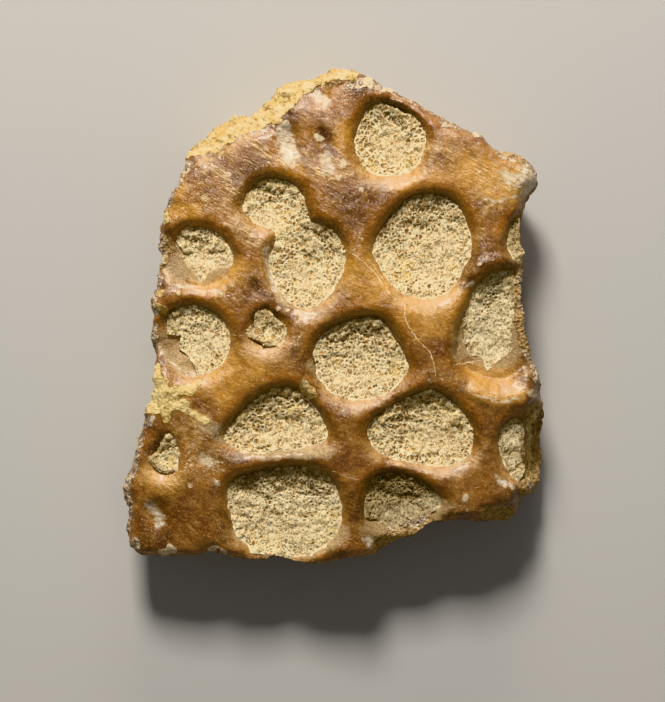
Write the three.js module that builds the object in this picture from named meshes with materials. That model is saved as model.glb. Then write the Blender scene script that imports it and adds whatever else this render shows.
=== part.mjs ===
// A broken piece of a fossil crocodile scute: the bony plate that sat under a scale.
// One solid of polished brown bone carries a net of rounded ridges round deep pits, and each pit
// still holds its own plug of sandy matrix, the sediment that the plate was buried in.
//
// Millimetres, +Z up. The plate lies on its flat underside. X is across it and Y is along it.
import * as THREE from "three";

// ---------------------------------------------------------------- driving dimensions
const CROWN_HEIGHT = 9.0; // highest ridge above the underside
const CROWN_X = 1.5; // where the plate is thickest
const CROWN_Y = 3.0;
const DOME_HALF_WIDTH = 19.0;
const DOME_HALF_LENGTH = 25.0;
const DOME_FALL_X = 1.3; // how far the top falls to the plate's sides
const DOME_FALL_Y = 1.7; // and to its ends
const PIT_DEPTH = 2.5; // floor of a full pit below the ridges round it
const RIM_WIDTH = 1.15; // from a pit's rim line out to the crest of its ridge
const RIM_LEAN = 0.5; // walls towards -Y are this share wider, those towards +Y narrower
const RIM_SHARE = 0.42; // the rim line's place on the wall: 0 is the crest, 1 the pit's floor
const WALL_WIDTH = 0.9; // from the rim line in to the pit's floor
const MATRIX_LEVEL = 0.34; // top of the matrix at its edge, as a share of the pit's depth
const MATRIX_DISH = 0.55; // how much lower it lies in the middle of a pit
const JOINT_GAP = 0.3; // clearance between a plug and the bone under it
const PLUG_INSET = 0.2; // a plug's edge, inside its rim line
const PLUG_EDGE = 0.3; // least thickness of a plug, at its edge
const TOP_SPACING = 0.78; // between the points of the top surface
const EDGE_SPACING = 0.88; // between the points round the broken edge
const UNDERSIDE_SPACING = 2.6;
const PLUG_SPACING = 0.98;
const UNDERSIDE_ROUND = 0.6; // the broken edge turns under, this high and this far in

// ---------------------------------------------------------------- the broken edge
// Clockwise from the peak, by stretches that broke alike. bevel is how far in from the edge the
// top has chipped away, drop how deep, and undercut how far the foot stands in under the top.
const BROKEN_EDGE = [
  {
    bevel: 0.7, drop: 1.0, undercut: 1.3, // top right, a thin flaked lip
    points: [[0.6, 22.5], [2.6, 21.9], [4.6, 20.9], [6.8, 19.9], [9.0, 18.6], [10.4, 17.8],
      [12.2, 17.0], [13.4, 16.5], [14.3, 15.6]],
  },
  {
    bevel: 0.9, drop: 1.6, undercut: 1.8, // the spur at the right shoulder
    points: [[15.1, 15.1], [16.3, 15.1], [17.5, 14.4], [18.5, 13.4], [18.7, 12.2], [17.7, 10.9]],
  },
  {
    bevel: 0.7, drop: 0.9, undercut: 0.6, // right side, through two pits
    points: [[17.2, 9.3], [17.2, 7.6], [17.5, 6.0], [17.2, 4.5], [17.1, 2.4], [17.2, 0.2],
      [17.5, -1.8], [18.0, -3.6], [18.7, -5.3], [18.9, -6.9]],
  },
  {
    bevel: 2.1, drop: 3.2, undercut: 0.2, // lower right, a rough sloping break
    points: [[19.3, -8.3], [19.3, -9.6], [19.1, -11.2], [19.3, -13.0], [18.9, -15.2], [18.1, -16.2]],
  },
  {
    bevel: 0.6, drop: 0.8, undercut: 2.0, // bottom right, a corner and an open pit
    points: [[17.0, -16.4], [16.7, -18.1], [15.6, -18.6], [12.5, -18.5], [9.9, -18.5],
      [8.6, -18.9], [7.2, -19.8]],
  },
  {
    bevel: 0.5, drop: 0.6, undercut: 2.4, // bottom, undercut
    points: [[5.9, -20.2], [4.3, -21.3], [2.9, -21.7], [1.0, -22.0], [-0.8, -22.3], [-2.6, -22.4],
      [-4.8, -21.7], [-7.0, -22.0], [-8.9, -21.7], [-10.9, -21.4], [-13.2, -21.6],
      [-15.2, -21.7], [-18.2, -21.4]],
  },
  {
    bevel: 0.5, drop: 0.7, undercut: 1.0, // left side, crumbled in small bites
    points: [[-18.8, -19.4], [-18.6, -17.4], [-19.2, -15.7], [-18.2, -13.4], [-17.8, -11.2],
      [-17.2, -10.2], [-17.1, -8.4], [-16.2, -7.1], [-16.5, -5.2], [-16.0, -3.6], [-16.5, -1.5],
      [-16.2, -0.3], [-16.5, 1.0], [-15.9, 2.6], [-15.9, 4.0], [-15.5, 5.3], [-15.8, 6.5],
      [-15.4, 8.6], [-15.0, 10.1], [-14.2, 11.6], [-13.7, 13.0], [-13.1, 14.5]],
  },
  {
    bevel: 2.3, drop: 1.7, undercut: 0.5, // top left, a broad sloping break
    points: [[-12.5, 15.3], [-11.6, 15.7], [-10.8, 16.8], [-9.6, 17.6], [-8.3, 18.1], [-6.8, 18.2],
      [-5.9, 19.2], [-5.2, 20.1], [-4.3, 20.9], [-3.4, 21.4], [-1.8, 21.4], [-0.6, 22.1]],
  },
];

// ---------------------------------------------------------------- the pits
// rim is the line where the matrix meets the wall of a sound pit. Where the matrix has fallen out
// of part of a pit, fill is the outline of what is left. depth is a share of PIT_DEPTH, and width
// a share of RIM_WIDTH.
const PITS = [
  {
    matrix: "matrix_top_pit", depth: 0.9, width: 0.9,
    rim: [[2.1, 15.2], [2.2, 16.8], [3.3, 19.0], [5.0, 19.4], [7.0, 18.4], [8.3, 16.2],
      [7.2, 13.3], [4.9, 12.7], [3.0, 13.4]],
  },
  {
    matrix: "matrix_twin_pit", depth: 0.95, width: 0.9,
    rim: [[-8.1, 10.0], [-7.4, 11.6], [-5.6, 12.6], [-3.4, 11.8], [-2.4, 10.2], [-2.1, 8.5],
      [-0.9, 8.4], [0.5, 7.3], [1.1, 5.0], [0.1, 2.7], [-2.2, 0.9], [-4.4, 1.9], [-5.7, 4.9],
      [-5.0, 7.8], [-6.6, 8.4]],
  },
  {
    matrix: "matrix_large_pit", depth: 1.05, width: 1.05,
    rim: [[3.7, 6.4], [5.2, 9.1], [7.9, 11.1], [10.6, 10.6], [12.2, 8.2], [12.1, 4.9],
      [10.4, 2.4], [8.2, 1.8], [5.8, 2.7], [4.2, 4.5]],
  },
  {
    matrix: "matrix_upper_left_pit", depth: 0.85, width: 0.8,
    rim: [[-15.2, 5.6], [-14.2, 7.6], [-12.6, 8.3], [-10.4, 7.6], [-8.9, 5.6], [-9.6, 3.7],
      [-12.0, 2.7], [-14.2, 3.5]],
    fill: [[-13.9, 5.3], [-13.7, 7.4], [-12.6, 7.9], [-10.4, 7.2], [-9.1, 5.6], [-9.9, 4.3],
      [-12.3, 3.5]],
  },
  {
    matrix: "matrix_left_pit", depth: 0.85, width: 0.75,
    rim: [[-15.9, -1.9], [-15.2, 0.3], [-12.7, 1.2], [-10.4, 0.3], [-9.2, -1.8], [-10.0, -4.2],
      [-12.5, -5.3], [-14.8, -4.3]],
    fill: [[-15.2, -0.2], [-14.3, 0.6], [-12.6, 1.0], [-10.5, 0.2], [-9.5, -1.7], [-10.5, -4.2],
      [-12.3, -5.0], [-13.4, -3.2], [-13.9, -1.9]],
  },
  {
    matrix: "matrix_small_pit", depth: 0.5, width: 0.6,
    rim: [[-7.5, -1.4], [-6.6, 0.6], [-5.0, 0.2], [-4.3, -0.9], [-4.8, -2.4], [-6.4, -2.8]],
  },
  {
    matrix: "matrix_middle_pit", depth: 1.0, width: 1.05,
    rim: [[-1.7, -3.1], [-0.5, -1.1], [2.2, -0.1], [4.3, -0.2], [6.1, -2.8], [6.7, -4.7],
      [4.6, -6.8], [1.9, -7.3], [-0.6, -6.2]],
  },
  {
    matrix: "matrix_right_pit", depth: 0.95, width: 0.9,
    rim: [[13.0, 3.0], [14.5, 4.1], [16.6, 4.4], [17.0, 1.5], [17.1, -1.6], [17.3, -4.2],
      [16.0, -5.7], [13.3, -5.5], [11.2, -4.0], [11.2, -1.4], [12.1, 0.8]],
    fill: [[13.1, 2.7], [14.5, 3.9], [16.4, 4.2], [16.6, 1.6], [16.6, -1.6], [16.1, -3.5],
      [14.4, -4.3], [12.8, -3.4], [12.1, -1.2], [12.5, 1.0]],
  },
  {
    matrix: "matrix_notch", depth: 0.9, width: 0.6,
    rim: [[15.8, 7.6], [16.4, 8.9], [18.0, 9.2], [18.4, 6.8], [17.8, 4.9], [16.4, 5.3], [15.7, 6.4]],
    fill: [[15.8, 7.3], [16.3, 8.7], [17.0, 8.5], [17.1, 6.8], [17.1, 5.0], [16.3, 5.1], [15.8, 6.1]],
  },
  {
    matrix: "matrix_half_moon_pit", depth: 0.95, width: 0.9,
    rim: [[-9.8, -10.7], [-8.6, -8.8], [-5.9, -6.7], [-4.2, -6.3], [-2.6, -6.9], [-0.9, -9.2],
      [-0.5, -10.8], [-2.0, -11.6], [-5.2, -11.9], [-8.5, -11.9]],
  },
  {
    matrix: "matrix_lower_right_pit", depth: 1.0, width: 0.95,
    rim: [[3.1, -10.1], [4.6, -8.5], [7.0, -7.1], [9.2, -6.6], [11.4, -8.2], [12.6, -10.2],
      [12.3, -12.3], [10.6, -13.2], [7.2, -13.1], [4.4, -12.3]],
  },
  {
    matrix: "matrix_bottom_left_pit", depth: 1.05, width: 0.95,
    rim: [[-9.3, -14.9], [-7.0, -13.9], [-3.8, -13.5], [-0.6, -14.2], [0.6, -16.4], [0.4, -19.4],
      [-1.6, -21.2], [-4.2, -22.4], [-7.0, -21.2], [-9.0, -18.9]],
    fill: [[-9.2, -15.0], [-7.0, -14.0], [-3.8, -13.6], [-0.7, -14.3], [0.5, -16.4], [0.2, -18.8],
      [-1.9, -20.4], [-3.5, -21.6], [-5.2, -21.2], [-7.0, -20.8], [-8.9, -18.8]],
  },
  {
    matrix: "matrix_bottom_right_pit", depth: 0.95, width: 0.85,
    rim: [[3.0, -15.6], [4.3, -14.1], [6.4, -14.2], [8.6, -15.2], [9.9, -16.5], [8.9, -18.2],
      [7.0, -19.8], [4.2, -21.6], [3.1, -18.8]],
    fill: [[3.0, -15.7], [4.4, -14.2], [6.4, -14.3], [8.6, -15.3], [9.6, -16.5], [8.6, -17.9],
      [6.9, -18.7], [4.4, -18.9], [3.2, -18.0]],
  },
  {
    matrix: "matrix_edge_pit", depth: 0.9, width: 0.7,
    rim: [[15.1, -11.0], [15.6, -9.7], [17.0, -8.9], [19.2, -9.4], [19.6, -12.6], [18.6, -15.0],
      [16.6, -14.7], [15.5, -13.2]],
    fill: [[15.2, -11.0], [15.7, -9.8], [16.6, -9.2], [17.5, -9.8], [17.4, -12.4], [17.5, -14.4],
      [16.4, -14.5], [15.5, -13.0]],
  },
  {
    matrix: "matrix_corner_pit", depth: 0.5, width: 0.6,
    rim: [[-16.7, -12.7], [-15.8, -11.4], [-15.2, -10.5], [-14.2, -11.4], [-14.0, -13.2],
      [-14.8, -14.3], [-16.1, -14.0]],
  },
  // Shallow dimples that hold no plug.
  { depth: 0.3, width: 0.9, rim: [[-5.0, 17.2], [-3.6, 17.4], [-3.0, 16.0], [-3.6, 14.6], [-4.9, 15.2]] },
  { depth: 0.22, width: 0.8, rim: [[-1.9, 20.0], [-1.2, 20.5], [-0.5, 20.0], [-1.1, 19.3]] },
  { depth: 0.28, width: 0.8, rim: [[-1.6, 16.7], [-0.9, 16.9], [0.0, 15.0], [-0.6, 14.3], [-1.2, 15.4]] },
  { depth: 0.28, width: 0.8, rim: [[-16.9, -17.1], [-15.5, -16.9], [-15.2, -18.6], [-16.0, -19.0]] },
  { depth: 0.15, width: 0.8, rim: [[-12.2, -12.6], [-11.3, -12.1], [-10.6, -12.8], [-11.4, -13.5]] },
  { depth: 0.18, width: 0.5, rim: [[-7.2, 2.5], [-6.8, 2.9], [-6.5, 2.4], [-6.9, 2.0]] },
  { depth: 0.16, width: 0.5, rim: [[-2.8, 11.8], [-2.4, 12.0], [-2.1, 11.6], [-2.5, 11.3]] },
  {
    depth: 0.5, width: 0.6,
    rim: [[13.2, -18.1], [14.3, -17.4], [16.4, -17.1], [16.9, -18.6], [14.6, -19.2]],
  },
];

// ---------------------------------------------------------------- noise
// Smooth repeatable noise, from -1 to 1, that changes over about one unit.
function latticeValue(ix, iy, iz) {
  let h = Math.imul(ix, 374761393) ^ Math.imul(iy, 668265263) ^ Math.imul(iz, 1440662683);
  h = Math.imul(h ^ (h >>> 13), 1274126177);
  return (((h ^ (h >>> 16)) >>> 0) / 4294967295) * 2 - 1;
}

function noise(x, y, z = 0) {
  const cell = [x, y, z].map(Math.floor);
  const [u, v, w] = [x, y, z].map((c, i) => THREE.MathUtils.smootherstep(c - cell[i], 0, 1));
  const corner = (i, j, k) => latticeValue(cell[0] + i, cell[1] + j, cell[2] + k);
  const edge = (j, k) => THREE.MathUtils.lerp(corner(0, j, k), corner(1, j, k), u);
  const side = (k) => THREE.MathUtils.lerp(edge(0, k), edge(1, k), v);
  return THREE.MathUtils.lerp(side(0), side(1), w);
}

// ---------------------------------------------------------------- closed outlines
// A smooth closed line through a few points, as evenly spaced 2-D points.
function smoothLoop(points, spacing) {
  const curve = new THREE.CatmullRomCurve3(
    points.map(([x, y]) => new THREE.Vector3(x, y, 0)),
    true,
    "centripetal",
  );
  const count = Math.max(8, Math.round(curve.getLength() / spacing));
  return curve.getSpacedPoints(count).slice(0, count).map((p) => new THREE.Vector2(p.x, p.y));
}

// Where (x, y) lies against a loop: distance is negative inside, outward points away from the
// loop's inside, and nearest is the index of the closest point of the loop.
function place(loop, x, y) {
  let best = Infinity;
  let nearest = 0;
  let bx = 0;
  let by = 0;
  let inside = false;
  for (let i = 0, j = loop.length - 1; i < loop.length; j = i++) {
    const a = loop[j];
    const b = loop[i];
    const ex = b.x - a.x;
    const ey = b.y - a.y;
    const t = THREE.MathUtils.clamp(((x - a.x) * ex + (y - a.y) * ey) / (ex * ex + ey * ey), 0, 1);
    const px = x - a.x - ex * t;
    const py = y - a.y - ey * t;
    const squared = px * px + py * py;
    if (squared < best) {
      best = squared;
      bx = px;
      by = py;
      nearest = t < 0.5 ? j : i;
    }
    if (a.y > y !== b.y > y && x < a.x + (ex * (y - a.y)) / ey) inside = !inside;
  }
  const length = Math.sqrt(best) || 1e-9;
  const sign = inside ? -1 : 1;
  return { distance: sign * length, outwardY: (sign * by) / length, nearest };
}

// The loop with each point moved inwards, by one distance or by one for each point.
function inset(loop, by) {
  return loop.map((p, i) => {
    const before = loop[(i + loop.length - 1) % loop.length];
    const after = loop[(i + 1) % loop.length];
    const along = after.clone().sub(before).normalize();
    const inwards = new THREE.Vector2(along.y, -along.x).multiplyScalar(turn(loop));
    return p.clone().addScaledVector(inwards, Array.isArray(by) ? by[i] : by);
  });
}

// 1 for a clockwise loop and -1 for an anticlockwise one.
function turn(loop) {
  return Math.sign(-THREE.ShapeUtils.area(loop));
}

// Each value averaged with its neighbours round a loop, several times over.
function smoothed(values, times) {
  let now = values;
  for (let n = 0; n < times; n++) {
    now = now.map((v, i) => {
      const before = now[(i + now.length - 1) % now.length];
      const after = now[(i + 1) % now.length];
      return typeof v === "number"
        ? (before + 2 * v + after) / 4
        : v.clone().multiplyScalar(2).add(before).add(after).multiplyScalar(0.25);
    });
  }
  return now;
}

const allEdgePoints = BROKEN_EDGE.flatMap((stretch) => stretch.points);
const outline = smoothLoop(allEdgePoints, EDGE_SPACING);

// One of BROKEN_EDGE's values for each point of the outline, blended between the stretches.
function alongOutline(name) {
  const owner = BROKEN_EDGE.flatMap((stretch) => stretch.points.map(() => stretch[name]));
  const values = outline.map((p) => {
    const gaps = allEdgePoints.map(([x, y]) => (x - p.x) ** 2 + (y - p.y) ** 2);
    return owner[gaps.indexOf(Math.min(...gaps))];
  });
  return smoothed(values, 3);
}

const bevels = alongOutline("bevel");
const drops = alongOutline("drop");
const undercuts = alongOutline("undercut");

// ---------------------------------------------------------------- heights
// The plate's top before any pit: a low dome with a slight swell.
function domeHeight(x, y) {
  const u = (x - CROWN_X) / DOME_HALF_WIDTH;
  const v = (y - CROWN_Y) / DOME_HALF_LENGTH;
  return CROWN_HEIGHT - DOME_FALL_X * u * u - DOME_FALL_Y * v * v + 0.16 * noise(x / 5, y / 5, 7);
}

for (const pit of PITS) pit.loop = smoothLoop(pit.rim, 0.5);

// How deep a pit is at a point, as a share of PIT_DEPTH.
function pitShare(pit, x, y) {
  const { distance, outwardY } = place(pit.loop, x, y);
  const reach = RIM_WIDTH * pit.width * (1 - RIM_LEAN * outwardY);
  const down = distance > 0
    ? RIM_SHARE * (1 - distance / reach)
    : RIM_SHARE - ((1 - RIM_SHARE) * distance) / WALL_WIDTH;
  return pit.depth * THREE.MathUtils.smoothstep(down, 0, 1);
}

// The bone's top: the dome, the pits, and the chipped bevel round the broken edge.
function boneHeight(x, y) {
  const left = PITS.reduce((share, pit) => share * (1 - pitShare(pit, x, y) / 1.2), 1);
  const { distance, nearest } = place(outline, x, y);
  const chipped = THREE.MathUtils.clamp(1 + distance / bevels[nearest], 0, 1);
  const rough = 1 + 0.35 * noise(x / 1.1, y / 1.1, 3);
  return domeHeight(x, y) - 1.2 * PIT_DEPTH * (1 - left) - drops[nearest] * chipped * rough;
}

// The top of the matrix in a pit: dished, highest against the walls, with low lumps.
function matrixHeight(pit, x, y) {
  const dish = MATRIX_DISH * THREE.MathUtils.smoothstep(-place(pit.loop, x, y).distance, 0, 2.6);
  const level = domeHeight(x, y) - MATRIX_LEVEL * pit.depth * PIT_DEPTH - dish;
  const lumps = 0.16 * noise(x / 1.3, y / 1.3, 11) + 0.1 * noise(x / 0.6, y / 0.6, 19);
  return Math.max(level + lumps, boneHeight(x, y) + JOINT_GAP + PLUG_EDGE);
}

// ---------------------------------------------------------------- triangles
// Points inside a loop on a slightly uneven triangular grid, clear of the loop itself.
function gridInside(loop, spacing) {
  const box = new THREE.Box2().setFromPoints(loop);
  const rowStep = spacing * Math.sqrt(0.75);
  const found = [];
  for (let row = 0; box.min.y + row * rowStep < box.max.y; row++) {
    for (let x = box.min.x + (row % 2) * spacing * 0.5; x < box.max.x; x += spacing) {
      const y = box.min.y + row * rowStep;
      const p = new THREE.Vector2(
        x + 0.16 * spacing * noise(x * 9.7, y * 9.7, 31),
        y + 0.16 * spacing * noise(x * 9.7, y * 9.7, 57),
      );
      if (place(loop, p.x, p.y).distance < -0.62 * spacing) found.push(p);
    }
  }
  return found;
}

// Delaunay triangles over 2-D points, added one at a time inside one big triangle.
function delaunay(points) {
  const far = 1000;
  const bigTriangle = [[-far, -far], [far, -far], [0, far]].map(([x, y]) => new THREE.Vector2(x, y));
  const all = [...points, ...bigTriangle];
  const n = points.length;
  const withCircle = (a, b, c) => {
    const [p, q, r] = [all[a], all[b], all[c]];
    const d = 2 * (p.x * (q.y - r.y) + q.x * (r.y - p.y) + r.x * (p.y - q.y));
    const [pp, qq, rr] = [p.lengthSq(), q.lengthSq(), r.lengthSq()];
    const x = (pp * (q.y - r.y) + qq * (r.y - p.y) + rr * (p.y - q.y)) / d;
    const y = (pp * (r.x - q.x) + qq * (p.x - r.x) + rr * (q.x - p.x)) / d;
    return { corners: [a, b, c], x, y, squared: (p.x - x) ** 2 + (p.y - y) ** 2 };
  };
  let triangles = [withCircle(n, n + 1, n + 2)];
  points.forEach((p, i) => {
    const edges = new Map();
    triangles = triangles.filter((t) => {
      if ((p.x - t.x) ** 2 + (p.y - t.y) ** 2 > t.squared) return true;
      t.corners.forEach((a, k) => {
        const b = t.corners[(k + 1) % 3];
        if (!edges.delete(`${b},${a}`)) edges.set(`${a},${b}`, [a, b]);
      });
      return false;
    });
    for (const [a, b] of edges.values()) triangles.push(withCircle(a, b, i));
  });
  return triangles.map((t) => t.corners).filter((corners) => corners.every((c) => c < n));
}

// The triangles, anticlockwise from above, that fill a loop whose points come first in the list.
function fillLoop(points, loop) {
  return delaunay(points)
    .filter(([a, b, c]) => {
      const x = (points[a].x + points[b].x + points[c].x) / 3;
      const y = (points[a].y + points[b].y + points[c].y) / 3;
      return place(loop, x, y).distance < 0;
    })
    .map(([a, b, c]) => {
      const ab = points[b].clone().sub(points[a]);
      const ac = points[c].clone().sub(points[a]);
      return ab.cross(ac) > 0 ? [a, b, c] : [a, c, b];
    });
}

// Gathers points and triangles into one closed geometry.
class Skin {
  points = [];
  triangles = [];

  addPoints(list) {
    const first = this.points.length / 3;
    for (const p of list) this.points.push(p.x, p.y, p.z);
    return first;
  }

  // triangles index the points from first on; flip turns them to face down.
  addTriangles(triangles, first, flip = false) {
    for (const [a, b, c] of triangles) {
      this.triangles.push(first + a, first + (flip ? c : b), first + (flip ? b : c));
    }
  }

  // A band of wall between two rings of the same number of points, upper before lower.
  addWall(upper, lower, count, facing) {
    for (let i = 0; i < count; i++) {
      const j = (i + 1) % count;
      const quad = [[upper + i, lower + i, upper + j], [upper + j, lower + i, lower + j]];
      for (const [a, b, c] of quad) this.triangles.push(a, facing > 0 ? c : b, facing > 0 ? b : c);
    }
  }

  geometry() {
    const made = new THREE.BufferGeometry();
    made.setAttribute("position", new THREE.Float32BufferAttribute(this.points, 3));
    made.setIndex(this.triangles);
    made.computeVertexNormals();
    return made;
  }
}

const raised = (points, height) => points.map((p) => new THREE.Vector3(p.x, p.y, height(p.x, p.y)));

// ---------------------------------------------------------------- the bone
function boneGeometry() {
  const skin = new Skin();
  const count = outline.length;
  const topPoints = [...outline, ...gridInside(outline, TOP_SPACING)];
  const topRing = skin.addPoints(raised(topPoints, boneHeight));
  skin.addTriangles(fillLoop(topPoints, outline), topRing);

  // The broken side: rough rings from the top edge down to the foot, which is a smoother line.
  const foot = smoothed(inset(smoothed(outline, 6), undercuts), 4);
  const topHeights = outline.map((p) => boneHeight(p.x, p.y));
  const ringShares = [0.22, 0.5, 0.78];
  const facing = turn(outline);
  let upper = topRing;
  for (const share of ringShares) {
    const ring = outline.map((p, i) => {
      const spread = share * share;
      const x = THREE.MathUtils.lerp(p.x, foot[i].x, spread);
      const y = THREE.MathUtils.lerp(p.y, foot[i].y, spread);
      const z = THREE.MathUtils.lerp(topHeights[i], UNDERSIDE_ROUND, share);
      const outward = new THREE.Vector2(p.x, p.y).normalize();
      const rough = 0.3 * noise(x / 1.7, y / 1.7, z / 1.7) - 0.12;
      return new THREE.Vector3(x + outward.x * rough, y + outward.y * rough, z);
    });
    const lower = skin.addPoints(ring);
    skin.addWall(upper, lower, count, facing);
    upper = lower;
  }
  const footRing = skin.addPoints(raised(foot, () => UNDERSIDE_ROUND));
  skin.addWall(upper, footRing, count, facing);

  // The flat underside.
  const base = smoothed(inset(foot, UNDERSIDE_ROUND), 4);
  const basePoints = [...base, ...gridInside(base, UNDERSIDE_SPACING)];
  const baseRing = skin.addPoints(raised(basePoints, () => 0));
  skin.addWall(footRing, baseRing, count, facing);
  skin.addTriangles(fillLoop(basePoints, base), baseRing, true);
  return skin.geometry();
}

// ---------------------------------------------------------------- the matrix
// A plug lies in its pit like sand in a bowl: its underside follows the bone, JOINT_GAP above it.
function plugGeometry(pit) {
  const skin = new Skin();
  const rim = smoothLoop(pit.fill ?? pit.rim, PLUG_SPACING);
  const loop = inset(rim, PLUG_INSET);
  const points = [...loop, ...gridInside(loop, PLUG_SPACING)];
  const triangles = fillLoop(points, loop);
  const top = skin.addPoints(raised(points, (x, y) => matrixHeight(pit, x, y)));
  const bottom = skin.addPoints(raised(points, (x, y) => boneHeight(x, y) + JOINT_GAP));
  skin.addTriangles(triangles, top);
  skin.addTriangles(triangles, bottom, true);
  skin.addWall(top, bottom, loop.length, turn(loop));
  return skin.geometry();
}

// ---------------------------------------------------------------- the scute
const boneFinish = new THREE.MeshStandardMaterial({ color: 0x9a5f22, roughness: 0.32, metalness: 0 });
const matrixFinish = new THREE.MeshStandardMaterial({ color: 0xcdb27a, roughness: 0.95, metalness: 0 });

const scute = new THREE.Group();
const bone = new THREE.Mesh(boneGeometry(), boneFinish);
bone.name = "scute_bone";
scute.add(bone);
for (const pit of PITS.filter((p) => p.matrix)) {
  const plug = new THREE.Mesh(plugGeometry(pit), matrixFinish);
  plug.name = pit.matrix;
  scute.add(plug);
}

// The origin is under the middle of the plate's box.
bone.geometry.computeBoundingBox();
const middle = bone.geometry.boundingBox.getCenter(new THREE.Vector3());
scute.position.set(-middle.x, -middle.y, 0);

export default scute;
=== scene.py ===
"""The look of a fossil crocodile scute: glossy amber bone whose pits are packed with cemented sand."""

import math
import random
from typing import NamedTuple

import bpy
import numpy as np
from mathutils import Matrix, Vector, kdtree, noise


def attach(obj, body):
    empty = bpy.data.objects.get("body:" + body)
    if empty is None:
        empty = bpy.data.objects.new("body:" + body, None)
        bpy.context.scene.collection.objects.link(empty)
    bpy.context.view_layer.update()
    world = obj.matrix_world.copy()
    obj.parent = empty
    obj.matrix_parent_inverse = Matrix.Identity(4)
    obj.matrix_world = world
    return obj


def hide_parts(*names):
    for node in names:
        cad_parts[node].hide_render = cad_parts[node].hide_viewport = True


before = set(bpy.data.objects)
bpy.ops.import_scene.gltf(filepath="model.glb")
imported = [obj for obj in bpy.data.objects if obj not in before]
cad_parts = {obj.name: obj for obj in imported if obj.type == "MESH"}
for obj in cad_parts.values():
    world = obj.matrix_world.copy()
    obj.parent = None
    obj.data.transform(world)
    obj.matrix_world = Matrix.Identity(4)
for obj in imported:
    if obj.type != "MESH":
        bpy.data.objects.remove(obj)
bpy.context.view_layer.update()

MM = 0.001

# Where things are, in millimetres from the middle of the plate. Each stroke of the brush is its radius
# and then the spots (x, y) that it runs through.
CRUST = [  # pale yellow sandstone film left on the bone
    (0.8, (-12.2, 15.2), (-10.9, 16.1), (-9.7, 17.0), (-8.2, 17.6), (-6.6, 17.9)),
    (1.2, (-5.6, 18.7), (-4.7, 19.6), (-4.1, 20.4)),
    (0.6, (-3.2, 21.0), (-2.1, 21.2), (-1.0, 21.7), (0.2, 22.0), (1.7, 21.9)),
    (0.35, (-10.8, 15.2), (-9.8, 16.0), (-8.0, 16.9), (-6.2, 17.5)), (0.3, (-3.3, 19.9), (-2.0, 20.9)),
    (0.8, (-16.2, -4.9), (-15.7, -6.3)), (0.95, (-15.8, -7.1), (-15.0, -7.6)),
    (0.5, (-16.9, -8.2), (-15.4, -8.0), (-13.5, -8.0)), (0.5, (-15.1, -8.3), (-15.1, -9.0)),
    (0.45, (-14.3, -6.6), (-12.9, -6.6), (-12.2, -5.9)), (0.3, (-12.9, -8.7), (-11.4, -9.4)),
    (0.35, (18.2, -9.0), (18.0, -12.0), (18.0, -14.8)), (0.5, (-2.7, -6.2), (-2.2, -6.6)),
    (0.3, (-2.2, -7.0), (-1.8, -7.1)), (0.35, (-15.4, 5.2)), (0.3, (-13.9, 2.1)), (0.4, (-15.6, 2.2)),
    (0.35, (-16.1, 1.1), (-15.2, 0.6)), (0.3, (-15.3, 9.3), (-15.2, 8.6)),
]
BROKEN = [  # rough breaks in the top, besides the plate's sides
    (0.45, (16.8, 4.3), (16.7, 2.5), (16.8, 0.5), (17.0, -1.5), (17.3, -2.6)),
    (0.6, (-15.1, 6.9), (-14.9, 6.1)),
    (1.0, (18.3, -8.7), (18.1, -10.5), (18.2, -12.5), (18.1, -14.5), (17.6, -15.7)),
    (0.35, (-0.9, 21.1), (0.4, 21.2)), (0.8, (8.2, -18.8), (6.6, -19.4), (5.2, -20.2), (4.2, -20.9)),
    (0.6, (13.7, -17.8), (15.2, -17.7), (16.2, -18.0)),
    (0.45, (15.2, 14.9), (16.2, 14.9), (17.3, 14.3)),
]
WEATHERED = [  # crumbly, pinkish-white edges
    (0.45, (1.6, 21.1), (3.0, 21.0), (4.3, 20.7)),
    (0.18, (5.2, 20.5), (6.6, 19.8), (8.0, 19.1), (9.2, 18.4)), (0.35, (9.7, 17.6), (10.6, 17.4)),
    (0.22, (11.2, 17.1), (13.5, 16.5)), (0.18, (14.9, 14.7), (15.9, 14.3)),
    (0.35, (17.6, 13.9), (18.6, 13.2)), (0.3, (-13.0, 14.0), (-14.2, 11.7), (-14.9, 10.2)),
    (0.4, (-15.4, 9.6), (-15.4, 8.7)), (0.4, (-15.8, 7.3), (-15.6, 5.1)),
    (0.4, (-15.9, 3.6), (-16.2, 1.4), (-16.0, 0.5)), (0.4, (-16.3, -1.0), (-16.3, -2.5)),
    (0.25, (-17.1, -8.8), (-17.0, -10.0)), (0.45, (-18.2, -20.5), (-18.1, -21.1)),
    (0.25, (17.0, 4.2), (17.1, 0.0)),
    (0.3, (-17.4, -11.2), (-17.9, -12.6), (-18.3, -14.2), (-18.9, -15.6), (-18.6, -17.4),
     (-18.7, -19.4)), (0.5, (18.3, -9.0), (18.2, -12.0), (18.0, -15.2)),
    (0.35, (17.4, -3.2), (18.2, -4.6), (18.6, -5.8)), (0.35, (5.3, -19.1), (6.6, -18.7), (8.2, -18.3)),
]
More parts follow.
